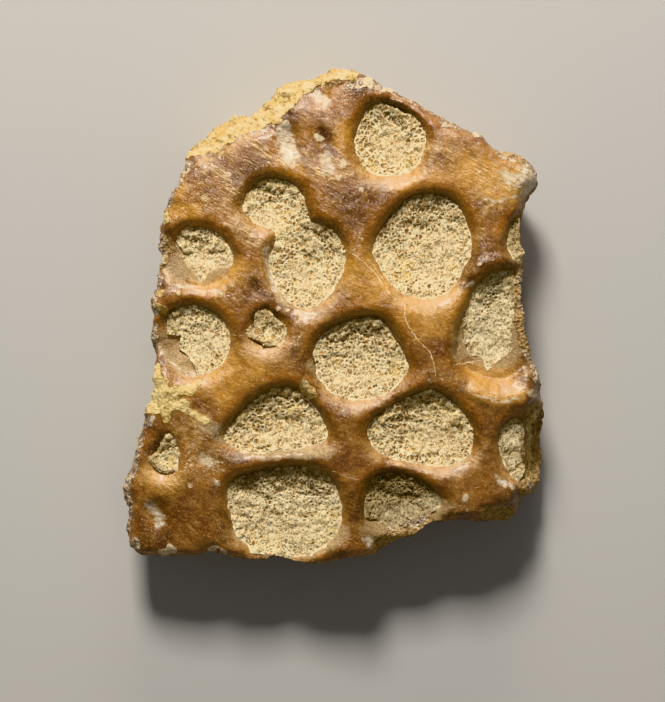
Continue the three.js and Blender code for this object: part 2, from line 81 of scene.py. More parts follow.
GOLDEN = [  # where the bone is golden yellow, and a painted highlight along the lower right crest
    (2.0, (12.6, 13.0), (15.2, 12.4)), (1.2, (14.4, 11.4), (16.6, 11.8)), (1.8, (2.2, 4.4), (3.6, 2.8)),
    (2.2, (7.6, 0.6), (9.4, 0.6)), (1.6, (13.4, -5.6), (15.8, -5.6)), (0.8, (-14.0, 11.4)),
    (0.9, (-14.2, 9.6), (-12.8, 9.4)), (0.8, (-4.6, 13.3), (-3.4, 13.1)),
    (2.3, (-9.4, -6.0), (-7.6, -5.0)), (1.2, (-8.6, 3.9)), (1.0, (-11.8, 3.1), (-10.4, 3.4)),
    (1.1, (-16.2, -14.6), (-14.6, -15.0)), (0.8, (0.8, 15.6), (0.9, 17.0)),
    (1.0, (6.2, 11.8), (9.0, 12.4)), (0.9, (5.0, -20.0)),
    # the first stroke here is a painted highlight along the crest
    (0.5, (12.8, -6.9), (15.0, -7.5), (16.8, -7.2)), (0.9, (-16.2, -5.4), (-15.7, -6.4), (-15.4, -7.4)),
    (0.6, (-16.6, -8.1), (-13.5, -8.0)), (0.5, (-14.3, -6.6), (-12.6, -6.4)),
    (0.4, (-12.9, -8.7), (-11.4, -9.4)),
]
UMBER = [  # where it is dark brown, and painted shade at small holes and under the crust's edge
    (1.5, (12.9, 5.0), (15.4, 5.2)), (0.7, (11.9, 3.2), (13.6, 3.8)), (0.9, (-7.0, 2.8)),
    # the dots at the small holes here and the line under the crust's edge below are painted shade
    (0.8, (-5.6, 1.2), (-4.2, 0.7)), (0.45, (-2.4, 11.8)), (0.8, (-1.8, 9.3), (-0.5, 9.2)),
    (0.5, (-0.8, 15.2), (-0.3, 14.9)), (0.45, (-1.2, 16.7), (-0.8, 16.4)),
    (0.5, (-5.2, 17.7), (-3.7, 17.9)), (0.6, (-8.4, 12.5), (-6.6, 13.2)),
    (0.9, (-8.0, -7.6), (-6.2, -6.4)), (0.8, (-9.4, -12.8), (-6.4, -13.2), (-2.6, -13.1)),
    (1.2, (-10.1, -16.4), (-9.9, -18.0)), (0.9, (-14.6, -20.2), (-17.2, -20.4)),
    (0.8, (1.8, -15.4), (2.1, -18.0)), (1.2, (0.4, -8.8), (0.9, -9.8)),
    (0.9, (-2.8, -3.2), (-2.0, -4.2)), (1.2, (13.2, -10.6), (14.3, -11.0)),
    (0.8, (9.4, -5.7), (11.2, -6.6)), (0.6, (10.6, -17.9), (12.4, -18.0)),
    (0.8, (17.0, -5.2), (17.6, -5.8)), (0.8, (15.6, -16.4), (16.6, -16.2)),
    (0.5, (-6.4, -12.5), (-3.0, -12.5)), (0.6, (-11.4, 11.2)), (0.7, (-17.0, -9.6), (-16.8, -11.8)),
    (1.1, (1.4, 10.2), (2.4, 8.6)), (0.9, (2.4, 20.4), (5.0, 20.0)), (0.8, (-15.0, 0.2), (-12.6, 1.5)),
]
PALE_MARKS_AND_GLINTS = [  # grey-white worn spots, pale lines round the bowls, and painted highlights along two crests
    (0.6, (15.4, 12.9), (16.6, 12.0)),
    (0.13, (-15.8, -2.6), (-15.2, -3.8), (-14.2, -4.6), (-13.0, -5.1), (-11.6, -4.9), (-10.4, -4.1),
     (-9.8, -3.2), (-9.6, -1.8)),
    (0.16, (-15.1, 3.9), (-14.6, 3.0), (-13.2, 2.6), (-11.6, 2.4), (-10.0, 2.2)),
    (0.12, (-4.9, 1.9), (-4.2, 1.0), (-3.2, 0.5), (-1.6, 0.2)),
    # these two lines are painted highlights along the crests
    (0.14, (13.6, 10.5), (15.0, 10.4), (16.2, 10.8), (17.6, 11.3)),
    (0.12, (12.4, -6.8), (13.5, -7.2), (15.0, -7.6), (16.6, -7.3)),
    (0.9, (-4.6, 16.9), (-4.2, 15.6), (-3.9, 14.3)), (0.6, (-1.6, 20.1), (-0.8, 19.4)),
    (0.35, (-1.5, 16.1)), (0.7, (-0.7, 14.2), (-0.5, 13.4)), (0.4, (1.0, 13.8)),
    (0.6, (-16.7, -17.1), (-15.9, -18.0), (-15.8, -18.8)), (0.5, (-11.7, -12.7), (-11.1, -13.3)),
    (0.35, (-10.5, -14.9)), (0.4, (11.8, -16.4)), (0.45, (14.2, -17.6), (15.2, -17.4)),
    (1.1, (17.3, 12.9), (18.2, 12.2)), (0.4, (17.3, 11.6)), (0.3, (-9.6, 12.8)),
    (0.4, (3.0, -20.2), (3.5, -20.9)), (0.35, (-10.5, -10.2)), (0.3, (-13.3, -8.4)),
    (0.3, (-16.4, -9.0), (-16.6, -9.8)), (0.25, (14.8, -14.2), (15.1, -15.0), (16.3, -15.5)),
    (0.25, (12.0, 2.8), (12.5, 3.0)), (0.3, (-6.0, 6.3), (-5.9, 5.0), (-5.4, 2.4)),
    (0.3, (-3.4, 0.4), (-2.6, -0.1)),
]
FILM = [  # a thin grey film of clay, in the bare bowls and below some pits
    (1.0, (-14.8, -1.9), (-14.6, -3.3), (-13.4, -4.3)), (0.8, (-14.7, 4.6), (-13.9, 3.9)),
    (0.8, (11.5, -0.6), (11.3, -2.2), (11.5, -3.4)), (0.8, (16.3, -2.9), (15.5, -3.8)),
    (1.0, (3.4, -19.4), (4.5, -19.7)), (0.8, (8.9, -17.8), (10.0, -17.1)),
    (0.6, (-6.2, -12.4), (-3.4, -12.3), (-0.6, -12.2)), (0.8, (-11.4, -9.8), (-10.0, -10.7)),
    (0.7, (-2.3, -21.2), (-0.4, -20.5), (0.8, -19.4)),
    (0.4, (-8.9, -19.4), (-7.9, -20.4), (-6.4, -21.3), (-5.2, -21.5)),
    (0.6, (-5.9, 5.8), (-5.5, 3.6), (-4.6, 1.6)), (0.5, (-2.2, -4.3), (-1.4, -5.0)),
]
SHEEN_AND_BLOOM = [  # a pinkish-white bloom on the lips below the pits and on some crests, partly a painted sheen
    (0.3, (-15.7, -2.5), (-14.9, -4.0), (-13.6, -4.8), (-12.2, -5.1), (-10.8, -4.6), (-9.8, -3.2),
     (-9.5, -1.7)), (0.4, (-15.1, 4.2), (-14.7, 3.1), (-12.6, 2.6), (-10.2, 2.3)),
    (0.7, (-9.6, 9.4), (-8.2, 8.2), (-6.6, 7.2)), (0.3, (-8.4, 6.1), (-6.4, 6.6)),
    (0.6, (-1.5, -4.9), (-0.8, -6.3), (0.6, -7.6)), (0.7, (2.2, -8.0), (4.6, -7.3)),
    (0.5, (3.3, 12.3), (5.4, 12.0), (7.9, 13.1)), (0.5, (12.4, -6.3), (14.6, -7.2), (17.3, -6.8)),
    (1.6, (-13.2, -10.2), (-12.0, -12.6)), (0.5, (13.6, 10.7), (15.2, 10.6), (17.1, 11.1)),
    (1.0, (14.6, 12.0), (16.6, 11.8)), (0.5, (13.8, 9.4), (14.4, 9.8)),
    (0.5, (-3.0, -0.2), (-1.6, -0.4), (-0.4, 0.0)), (0.6, (8.6, -13.4), (10.6, -13.8), (12.6, -13.0)),
    (0.4, (12.4, 6.6), (13.4, 7.8)), (0.4, (11.8, 4.4), (12.6, 6.0)),
    (0.5, (-11.8, 14.0), (-9.0, 16.0), (-7.0, 16.8)), (0.4, (2.0, 13.2), (0.3, 12.6)),
    (0.3, (-6.3, -3.3), (-4.8, -3.2)), (0.5, (8.6, 15.2), (11.0, 15.0)), (0.9, (7.8, 0.9), (8.6, 0.3)),
]
STRIATED = [  # where long fine scratches are, their highlights painted pale
    (1.6, (-12.2, 14.0), (-9.4, 14.8), (-6.6, 16.0)), (1.1, (-5.6, 14.6), (-3.2, 14.0), (-0.4, 12.9)),
    (0.9, (-0.9, 14.2), (0.6, 13.2)), (1.3, (-9.8, 9.8), (-7.6, 7.8), (-6.2, 6.8)),
    (1.0, (-9.6, 12.6), (-8.6, 11.0)), (0.8, (8.6, 15.0), (10.8, 15.2)), (0.7, (-12.0, 10.6)),
    (1.0, (13.0, 12.8), (16.2, 12.0)), (0.8, (10.4, 13.6), (12.0, 14.4)),
]
SPECKLED = [  # fine pale crumbs scattered on the bone
    (1.2, (-11.4, -10.6), (-10.6, -13.2)), (0.8, (-13.0, -12.4), (-13.4, -14.4)), (0.8, (-10.4, -14.8)),
    (0.7, (-6.0, 6.2), (-5.8, 4.0), (-5.0, 1.8)), (0.9, (-9.4, 12.2), (-8.6, 11.2)),
    (1.0, (1.4, 7.0), (2.6, 6.2)), (0.8, (-16.4, -12.8), (-15.2, -14.4)),
    (0.8, (-10.6, 2.0), (-9.2, 2.2)), (0.8, (8.8, -5.6), (11.0, -6.4)),
    (0.7, (-2.6, 0.2), (-3.2, -1.8)), (0.6, (11.6, -17.4)),
]
CHALKY = [  # pale, fine parts of the matrix
    (1.3, (13.4, -1.6), (14.6, -2.6)), (0.6, (13.4, -3.4), (14.3, -3.9), (15.9, -2.4)),
    (0.6, (0.0, -5.3), (1.3, -5.7)), (0.7, (2.6, -5.4), (3.8, -5.2)),
    (0.7, (16.3, -10.6), (16.5, -12.2)), (0.4, (15.8, -13.2)),
    (1.1, (5.0, -18.2), (7.6, -17.4), (9.3, -16.8)), (1.1, (-12.9, 4.4), (-10.6, 5.2)),
    (0.9, (-6.6, 9.2), (-5.6, 8.9)), (1.2, (-12.6, -3.6), (-11.4, -2.6)),
    (1.2, (8.4, -11.2), (10.6, -11.2)), (0.9, (10.6, -9.2), (11.4, -9.6)),
    (1.2, (4.6, 16.2), (5.6, 14.6)), (1.4, (8.6, 4.4), (10.0, 6.0)), (0.5, (8.9, 3.0)),
    (0.4, (-15.1, -10.9)), (0.7, (-2.8, -10.6), (-1.4, -10.4)), (0.8, (-5.0, -10.6), (-3.8, -10.4)),
    (0.8, (-3.4, 4.6), (-2.2, 3.0)), (1.0, (-4.4, -19.6), (-1.8, -19.2)),
]
OCHRE = [  # rusty yellow stains in it
    (0.6, (2.9, 13.8), (3.4, 13.8)), (0.5, (6.6, 13.8), (7.2, 14.6)), (0.5, (8.1, 6.8)),
    (0.9, (6.2, 3.6), (6.6, 5.0)), (0.6, (10.9, 4.6)), (0.6, (5.5, -3.8), (5.9, -5.0)),
    (0.6, (-6.3, -11.3)), (0.65, (-3.6, -8.6)), (0.5, (-7.6, 10.7)), (0.6, (-4.4, 9.2), (-4.8, 7.2)),
    (0.5, (-12.6, 4.4)), (0.6, (-14.7, -1.2)), (0.9, (9.6, -8.6), (11.4, -9.2)), (0.6, (7.5, -12.0)),
    (0.5, (-15.6, -12.4), (-15.0, -13.2)), (0.5, (-8.4, -9.3)), (0.6, (0.2, -4.4)),
    (0.5, (-6.3, -1.2), (-6.1, -2.4)), (0.8, (-7.0, -19.8), (-5.4, -20.4)),
    (0.8, (-0.6, -18.0), (-0.4, -19.2)), (0.4, (12.0, -1.4), (12.4, -0.2)),
]
CRANNY_SHADE = [  # crannies in it, painted dark with their shade
    (0.18, (3.65, 16.75)), (0.25, (4.2, 16.6), (4.8, 16.4)), (0.3, (4.9, 18.2), (6.0, 17.6)),
    (0.2, (-6.9, 11.7), (-6.0, 11.2), (-4.9, 11.2)), (0.12, (-6.6, 10.2), (-5.3, 10.4)),
    (0.2, (-2.6, 7.9), (-1.7, 7.4), (-0.6, 7.1)), (0.25, (-2.8, 6.7)), (0.25, (-0.3, 6.4), (0.4, 5.8)),
    (0.2, (-2.7, 5.9), (-2.0, 5.4)), (0.2, (-13.7, 7.1), (-12.2, 7.0), (-11.8, 6.5)),
    (0.2, (-11.3, 5.95), (-10.0, 5.8)), (0.15, (-13.9, 5.7), (-12.9, 5.7)),
    (0.2, (-14.6, 0.0), (-12.4, 0.4)), (0.25, (-13.0, -0.9), (-11.5, -1.1)), (0.25, (-14.0, -2.0)),
    (0.2, (1.6, -1.2), (2.8, -1.25), (4.4, -1.0)), (0.3, (2.9, -1.6), (4.2, -1.5)),
    (0.22, (-0.4, -2.6), (0.6, -2.0), (1.5, -1.5)), (0.15, (0.0, -3.4), (1.0, -3.6)),
    (0.25, (-0.6, -1.7)), (0.2, (-6.3, -7.4), (-5.0, -7.15), (-3.9, -7.2)),
    (0.15, (-3.4, -7.7), (-2.6, -7.3)), (0.3, (-6.9, -10.1), (-6.1, -10.2)),
    (0.2, (-5.4, -9.2), (-4.4, -9.3)), (0.3, (-2.5, -7.8), (-1.7, -8.7)),
    (0.2, (-6.9, -8.3), (-6.6, -8.6)), (0.2, (8.0, -7.6), (9.2, -7.75)),
    (0.3, (6.0, -8.3), (7.0, -8.15)), (0.25, (5.4, -9.3), (6.8, -9.4), (8.0, -9.5)),
    (0.2, (3.3, -11.1), (3.9, -11.2)), (0.2, (10.1, -8.2), (11.0, -8.4)),
    (0.2, (10.9, -9.8), (11.6, -10.1)), (0.35, (7.2, 9.9), (8.8, 9.7), (9.5, 10.4)),
    (0.25, (4.6, 7.8), (5.1, 7.75)), (0.3, (6.4, 8.4), (8.2, 8.2)), (0.25, (11.1, 8.8), (11.6, 8.4)),
    (0.2, (6.9, 7.4)), (0.25, (-6.2, -14.0), (-4.6, -13.95)), (0.35, (-3.4, -13.7), (-1.2, -14.2)),
    (0.4, (-8.0, -14.6), (-7.2, -14.4)), (0.35, (-8.3, -15.4), (-7.0, -15.4)),
    (0.3, (-1.9, -14.9), (-1.7, -15.8)), (0.2, (-3.2, -15.9), (-1.2, -16.1)), (0.2, (-5.7, -15.3)),
    (0.2, (-3.7, -17.9)), (0.2, (-7.4, -17.2)), (0.25, (-8.4, -18.1), (-7.7, -18.1)),
    (0.35, (4.4, -14.5), (6.2, -14.5), (8.4, -15.2)), (0.4, (4.2, -15.6), (6.2, -16.2), (7.8, -16.2)),
    (0.12, (13.0, 2.2), (14.2, 2.1), (15.3, 2.1)), (0.2, (14.5, 2.9), (15.0, 3.2)),
    (0.2, (15.6, -10.3)), (0.3, (-16.0, -12.2), (-15.5, -12.0)), (0.3, (-6.3, -1.1)),
    (0.2, (-6.2, -2.4), (-5.6, -2.5)),
]
NODULES = [  # smooth lumps in it: the radius of each, and its spot
    (0.35, (-6.4, 12.2)), (0.4, (-5.6, 11.8)), (0.35, (-4.9, 11.9)), (0.45, (-3.7, 11.5)),
    (0.35, (-2.9, 10.5)), (0.6, (-1.4, 8.2)), (0.35, (-0.2, 7.9)), (0.35, (-2.6, 8.4)),
    (0.55, (-13.4, 7.7)), (0.4, (-12.3, 7.4)), (0.5, (-10.9, 6.6)), (0.4, (-10.2, 6.3)),
    (0.5, (-13.4, 6.3)), (0.35, (-14.2, 0.3)), (0.4, (1.2, -0.8)), (0.45, (2.1, -0.6)),
    (0.55, (3.1, -0.45)), (0.5, (3.8, -0.5)), (0.25, (5.0, -2.5)), (0.25, (5.5, -2.6)),
    (0.35, (-0.2, -1.7)), (0.45, (-5.3, -6.7)), (0.5, (-4.2, -6.5)), (0.5, (-3.2, -7.1)),
    (0.3, (-6.7, -7.3)), (0.2, (-6.0, -7.5)), (0.35, (-4.8, -7.6)), (0.5, (-8.4, -9.3)),
    (0.6, (-3.6, -8.6)), (0.5, (-6.3, -11.3)), (0.6, (11.0, -9.2)), (0.5, (7.5, -12.0)),
    (0.45, (4.4, -9.2)), (0.4, (8.5, 10.9)), (0.4, (8.1, 6.8)), (0.4, (11.0, 9.4)),
    (0.3, (-5.2, -13.7)), (0.35, (-2.7, -13.7)), (0.7, (-8.3, -16.7)), (0.25, (5.5, -14.0)),
    (0.25, (6.2, -14.2)), (0.25, (7.1, -14.6)), (0.25, (7.5, -15.9)), (0.25, (3.6, -14.7)),
    (0.3, (13.4, 2.8)), (0.3, (14.3, 3.5)), (0.45, (15.6, 3.2)), (0.35, (15.6, 2.4)),
    (0.3, (13.1, 1.8)), (0.4, (-15.1, -10.9)), (0.35, (9.2, -12.2)), (0.4, (5.0, -11.9)),
]
SPILLS = [  # where it spreads beyond its pit's floor, over bare bone
    (0.5, (-6.7, -20.8), (-5.7, -21.1)), (0.7, (-4.4, -21.2), (-3.0, -21.5)), (0.5, (14.3, -4.2)),
    (0.3, (15.9, -4.0)), (0.5, (12.0, -1.4), (12.6, -3.1)), (0.4, (-14.7, -1.0)), (0.4, (-13.7, -2.9)),
    (0.5, (-0.5, -19.6), (-1.8, -20.2)), (0.4, (5.0, -19.0), (6.4, -18.9)), (0.4, (-11.9, 3.4)),
    (0.5, (-6.6, 0.6)), (0.4, (-7.6, -1.5)), (0.5, (-9.6, -10.7)), (0.4, (-16.6, -12.3)),
    (0.5, (16.6, 8.8)), (0.5, (16.9, 6.0)), (0.4, (-15.1, -10.7)),
]
RAISED = [  # sharper crests on the bone
    (0.7, (12.8, -6.8), (14.6, -7.6), (16.4, -7.4), (17.9, -7.1)),
    (0.7, (12.2, 4.2), (14.6, 4.8), (15.8, 5.0)), (0.8, (18.8, -9.5), (18.9, -12.0), (18.7, -14.5)),
]
PROUD = [  # where the crust overhangs
    (1.4, (-12.4, 15.4), (-9.4, 17.6), (-6.2, 18.6), (-4.0, 21.0), (-0.6, 22.2), (2.6, 21.8)),
]
# stains and marks on the bone, with its painted sheen and painted highlights
BONE_MARKS_AND_SHEEN = {
    "golden": GOLDEN, "umber": UMBER, "pale_marks_and_glints": PALE_MARKS_AND_GLINTS, "film": FILM, "sheen_and_bloom": SHEEN_AND_BLOOM, "striated": STRIATED,
    "speckled": SPECKLED,
}
VEINS = {  # hairline cracks and scratches filled with pale calcite, and how thick each is
    "vein_middle": (0.065, [(1.1, 6.05), (2.2, 5.25), (3.1, 4.5), (3.8, 3.8), (4.4, 2.8), (5.4, 1.6),
                            (5.9, 1.0)]),
    "vein_beside": (0.04, [(3.0, 5.2), (3.6, 4.6), (4.1, 3.8), (4.7, 3.0)]),
    "vein_down": (0.065, [(6.4, 2.1), (6.4, 0.9), (6.35, 0.0), (6.8, -1.0), (7.6, -2.2), (8.7, -3.2),
                          (9.0, -4.4), (9.3, -6.0)]),
    "vein_right": (0.04, [(10.6, -4.3), (11.6, -4.25), (12.8, -4.0), (13.9, -4.0)]),
    "vein_low": (0.025, [(-0.9, -13.5), (0.2, -14.0), (1.4, -14.5), (2.9, -14.8)]),
    "vein_short": (0.06, [(8.2, -13.1), (8.25, -13.5), (8.35, -14.0), (8.3, -14.5)]),
    "vein_left": (0.03, [(-9.2, -1.6), (-8.5, -1.7), (-7.7, -1.6)]),
    "vein_under": (0.04, [(-7.2, -12.0), (-6.3, -12.1), (-5.4, -11.8), (-4.3, -11.6), (-3.0, -11.75),
                          (-1.4, -11.5)]),
    "streak_upper": (0.035, [(-8.6, 16.8), (-7.6, 16.2), (-6.4, 15.5), (-5.7, 14.8), (-5.0, 14.1)]),
    "streak_long": (0.035, [(-12.2, 14.1), (-11.0, 13.3), (-9.9, 12.5), (-8.9, 11.7)]),
    "streak_short": (0.03, [(-9.1, 15.9), (-8.0, 15.4), (-7.0, 15.0)]),
    "streak_fan": (0.035, [(-3.2, 14.1), (-2.2, 13.6), (-1.3, 12.9), (-0.5, 12.0)]),
}
CRUMBS = [  # loose bits of chalk stuck on the bone
    (0.35, (-14.9, -21.0), (-14.5, -21.1)), (0.3, (-15.7, -21.4), (-15.2, -21.4)),
    (0.22, (-11.4, -21.1), (-10.8, -21.0)), (0.22, (-10.2, -21.2), (-9.8, -21.4)),
    (0.28, (-4.6, -21.6), (-4.4, -21.4)), (0.25, (-4.6, 17.5), (-4.2, 17.3)),
    (0.28, (-9.7, 12.8), (-9.5, 12.8)), (0.3, (-18.1, -20.7), (-18.0, -21.1)), (0.16, (-12.9, -15.3)),
    (0.2, (-10.5, -14.9), (-10.3, -15.1)), (0.28, (11.8, -16.2), (11.75, -16.4)),
    (0.15, (13.0, 4.7), (13.2, 4.8)), (0.22, (7.3, -19.1), (7.6, -19.0)),
    (0.35, (3.0, 21.0), (3.2, 20.9)), (0.2, (4.6, 20.6), (5.6, 20.5)),
    (0.22, (12.8, 16.6), (13.0, 16.6)), (0.3, (1.0, 13.7)), (0.3, (0.4, 12.5)), (0.25, (2.5, 11.4)),
    (0.28, (-1.5, 16.1), (-1.1, 16.0)), (0.2, (-15.4, 5.2)), (0.2, (-5.0, 0.8)), (0.18, (-4.2, 0.6)),
    (0.2, (-3.4, 0.3)), (0.2, (-8.2, -12.2)), (0.18, (-7.3, -12.6)),
    (0.3, (-11.2, -13.3), (-11.3, -13.0)), (0.14, (16.0, 14.2), (16.3, 14.1)),
    (0.3, (17.9, -6.9), (18.2, -7.1)),
]


class Plug(NamedTuple):
    """How one plug of matrix looks. Sizes are in millimetres, and the rest are strengths from 0 up."""

    grain: float  # from one of its grains to the next
    lumps: float  # height of the swells in its top
    crags: float  # how rough it is towards its upper edge
    darkening: float  # how dark it is there
    rings: float  # how many of its grains are dark round their edge or inside
    slope: float = 0.3  # how far in its edge slopes where it stands clear of the pit's wall
    spread: float = 1.0  # how far it is pushed out under that wall
    sort: str = "warm"  # its colours, from SANDS


PLUGS = {
    "matrix_top_pit": Plug(grain=0.46, lumps=0.15, crags=0.1, darkening=0.25, rings=0.65),
    "matrix_twin_pit": Plug(grain=0.36, lumps=0.25, crags=0.35, darkening=0.4, rings=0.45),
    "matrix_large_pit": Plug(grain=0.36, lumps=0.2, crags=0.25, darkening=0.7, rings=0.5),
    "matrix_upper_left_pit": Plug(grain=0.3, lumps=0.3, crags=0.5, darkening=0.45, rings=0.35, slope=0.5),
    "matrix_left_pit": Plug(grain=0.32, lumps=0.25, crags=0.4, darkening=0.15, rings=0.35, slope=0.5),
    "matrix_small_pit": Plug(grain=0.6, lumps=0.15, crags=0.1, darkening=0.0, rings=0.6, slope=0.2),
    "matrix_middle_pit": Plug(grain=0.36, lumps=0.25, crags=0.6, darkening=0.35, rings=0.45),
    "matrix_right_pit": Plug(grain=0.27, lumps=0.25, crags=0.3, darkening=0.5, rings=0.4, slope=0.5,
                             sort="grey"),
    "matrix_notch": Plug(grain=0.27, lumps=0.15, crags=0.1, darkening=0.1, rings=0.4, slope=0.25, sort="brown"),
    "matrix_half_moon_pit": Plug(grain=0.4, lumps=0.35, crags=0.5, darkening=0.1, rings=0.45),
    "matrix_lower_right_pit": Plug(grain=0.4, lumps=0.25, crags=0.5, darkening=0.15, rings=0.55),
    "matrix_bottom_left_pit": Plug(grain=0.27, lumps=0.3, crags=0.7, darkening=0.75, rings=0.4, slope=0.5,
                                   spread=1.6),
    "matrix_bottom_right_pit": Plug(grain=0.26, lumps=0.25, crags=0.6, darkening=1.2, rings=0.5, slope=0.6,
                                    sort="brown"),
    "matrix_edge_pit": Plug(grain=0.3, lumps=0.15, crags=0.05, darkening=0.15, rings=0.35, slope=0.4,
                            sort="grey"),
    "matrix_corner_pit": Plug(grain=0.34, lumps=0.2, crags=0.2, darkening=0.1, rings=0.4, slope=0.3),
}
SANDS = {  # the colours of its cement, its pale grains, its dark grains, its pores and its rusty stains
    "warm": ("#fff2c8", "#dab270", "#8d6836", "#4c361c", "#dfb558"),
    "grey": ("#f6e7be", "#c6aa78", "#877045", "#453420", "#cba965"),
    "brown": ("#cfbb90", "#94794f", "#5f4829", "#281c10", "#967641"),
}

SIDE_TILT = 0.35  # a face of a plug that looks up or down by less than this share is one of its sides
QUARTERS = (0.0, 0.25, 0.5, 0.75)  # where the spots along an edge lie, as shares of it
DOWN = Vector((0, 0, -1))

# In millimetres.
PLUG_MESH = 0.068  # how finely the plugs are meshed
GRAIN_DEPTH = 0.045  # how deep the matrix's grains lie below the cement between them
PORE_DEPTH = 0.09  # and how much deeper its pores are
ARC_DEPTH = 0.03  # and the open crescents round some grains
CRANNY_DEPTH = 0.08  # and the crannies, which are also painted with shade
PUSH_STEP = 0.2  # how much further out a plug's sides are tried each time
SPILL_DROP = 3.0  # how far below a plug's edge the matrix may spill over bare bone
FLOOR_GAP = 0.14  # how far below the plugs' edges the bare floors are raised to
BURIED_GAP = 0.6  # and under the plugs themselves
OVERHEAD = 30  # the height from which the pieces are measured from above
VIEW_WIDTH = 60.1  # how much the camera takes in from left to right
VIEW_MIDDLE = (-0.105, -3.07)  # the middle of what it takes in
VIEW_LEVEL = 7.5  # and the height at which that is so wide


# ---------------------------------------------------------------- handling
def take(piece):
    """Makes piece the only thing selected, and the active one."""
    if bpy.context.mode != "OBJECT":
        bpy.ops.object.mode_set(mode="OBJECT")
    bpy.ops.object.select_all(action="DESELECT")
    piece.select_set(True)
    bpy.context.view_layer.objects.active = piece


def copy_of(node, name):
    """A copy of a CAD node's mesh with its loose triangles merged."""
    take(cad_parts[node])
    bpy.ops.object.duplicate()
    piece = bpy.context.object
    piece.name = name
    piece.data.name = name
    piece.data.materials.clear()
    for attribute in [a.name for a in piece.data.color_attributes]:
        piece.data.color_attributes.remove(piece.data.color_attributes[attribute])
    bpy.ops.object.mode_set(mode="EDIT")
    bpy.ops.mesh.select_all(action="SELECT")
    bpy.ops.mesh.remove_doubles(threshold=0.002 * MM)
    bpy.ops.object.mode_set(mode="OBJECT")
    bpy.ops.object.shade_smooth()
    return piece


def modify(piece, kind, **settings):
    """Adds a modifier to the piece and applies it."""
    take(piece)
    modifier = piece.modifiers.new(kind.title(), kind)
    for key, value in settings.items():
        setattr(modifier, key, value)
    bpy.ops.object.modifier_apply(modifier=modifier.name)


def pick(piece, domain, chosen):
    """Opens the piece for editing with only the chosen points, edges or faces selected."""
    take(piece)
    bpy.context.tool_settings.mesh_select_mode = [domain == d for d in ("vertices", "edges", "polygons")]
    bpy.ops.object.mode_set(mode="EDIT")
    bpy.ops.mesh.select_all(action="DESELECT")
    bpy.ops.object.mode_set(mode="OBJECT")
    getattr(piece.data, domain).foreach_set("select", np.asarray(chosen, bool))
    bpy.ops.object.mode_set(mode="EDIT")


def weight(piece, name, values):
    """A vertex group with one weight for each point, for a modifier to follow."""
    group = piece.vertex_groups.get(name + "_mask") or piece.vertex_groups.new(name=name + "_mask")
    steps = np.round(np.clip(values, 0, 1) * 100).astype(int)
    for step in np.unique(steps):
        group.add(np.nonzero(steps == step)[0].tolist(), step / 100, "REPLACE")


def relief(piece, kind, size, height, group, middle=0.5, ramp=None, direction="NORMAL", **texture):
    """Raises and sinks the surface by a solid texture, as far as the group's weights let it: size and
    height are in millimetres."""
    pattern = bpy.data.textures.new(piece.name + "_" + kind.lower(), kind)
    pattern.noise_scale = size * MM
    for key, value in texture.items():
        setattr(pattern, key, value)
    if ramp:
        pattern.use_color_ramp = True
        pattern.color_ramp.elements[0].position, pattern.color_ramp.elements[1].position = ramp
    modify(piece, "DISPLACE", texture=pattern, texture_coords="LOCAL", strength=height * MM,
           direction=direction, mid_level=middle, vertex_group=group + "_mask")


def shift(piece, axis, amounts):
    """Moves each point along an axis by its own amount, in millimetres, under a painted weight."""
    for sign in (1, -1):
        most = (sign * amounts).max()
        if most > 0:
            weight(piece, "shift", sign * amounts / most)
            modify(piece, "DISPLACE", direction=axis, mid_level=0.0, strength=sign * most * MM,
                   vertex_group="shift_mask")


def slide(piece, moves):
    """Moves each point along X and Y by its own row of moves, in millimetres."""
    shift(piece, "X", moves[:, 0])
    shift(piece, "Y", moves[:, 1])


def read(items, field):
    """The three numbers that each of the items has under that name, as an array."""
    flat = np.empty(len(items) * 3, np.float32)
    items.foreach_get(field, flat)
    return flat.reshape(-1, 3)


def points_of(piece):
    """The piece's points, in millimetres."""
    return read(piece.data.vertices, "co") / MM


def normals_of(piece):
    """Which way the surface looks at each of the piece's points."""
    return read(piece.data.vertex_normals, "vector")


def heights_over(piece, points):
    """The height of the piece's top, in millimetres, at each point seen from above, or -1 beside it."""
    heights = np.full(len(points), -1.0)
    for i, (x, y, _) in enumerate(points):
        hit, spot, _, _ = piece.ray_cast(Vector((x * MM, y * MM, OVERHEAD * MM)), DOWN)
        if hit:
            heights[i] = spot.z / MM
    return heights


def tree_of(spots):
    """A tree for finding the nearest of the spots, seen from above."""
    tree = kdtree.KDTree(len(spots))
    for i, (x, y, *_) in enumerate(spots):
        tree.insert((x, y, 0.0), i)
    tree.balance()
    return tree


def paint(piece, name, values):
    """Keeps one number for each point of the piece, for its finish to read."""
    layer = piece.data.attributes.new(name, "FLOAT", "POINT")
    layer.data.foreach_set("value", np.asarray(values, np.float32))


def distance_to(spots, course):
    """How far each spot is from a line that runs through the course's corners."""
    nearest = np.full(len(spots), np.inf)
    corners = np.array(course)
    for a, b in zip(corners, corners[1:] if len(corners) > 1 else corners):
        along = b - a
        share = np.clip((spots - a) @ along / max(along @ along, 1e-9), 0, 1)
        nearest = np.minimum(nearest, np.hypot(*(spots - a - share[:, None] * along).T))
    return nearest


def airbrush(spots, strokes):
    """How strongly each spot is covered by the soft strokes, from 0 to 1."""
    cover = np.zeros(len(spots))
    for radius, *course in strokes:
        cover = np.maximum(cover, 1.5 * (1 - distance_to(spots[:, :2], course) / (1.5 * radius)))
    return np.clip(cover, 0, 1)


def mounds(spots, lumps):
    """How high each spot is on the round lumps, in millimetres, and how surely (0 to 1) it is on one."""
    height, cover = np.zeros((2, len(spots)))
    for radius, middle in lumps:
        share = distance_to(spots[:, :2], [middle]) / radius
        height = np.maximum(height, 0.3 * radius * np.sqrt(np.clip(1 - share ** 2, 0, 1)))
        cover = np.maximum(cover, smoothstep(share, 1.1, 0.6))
    return height, cover


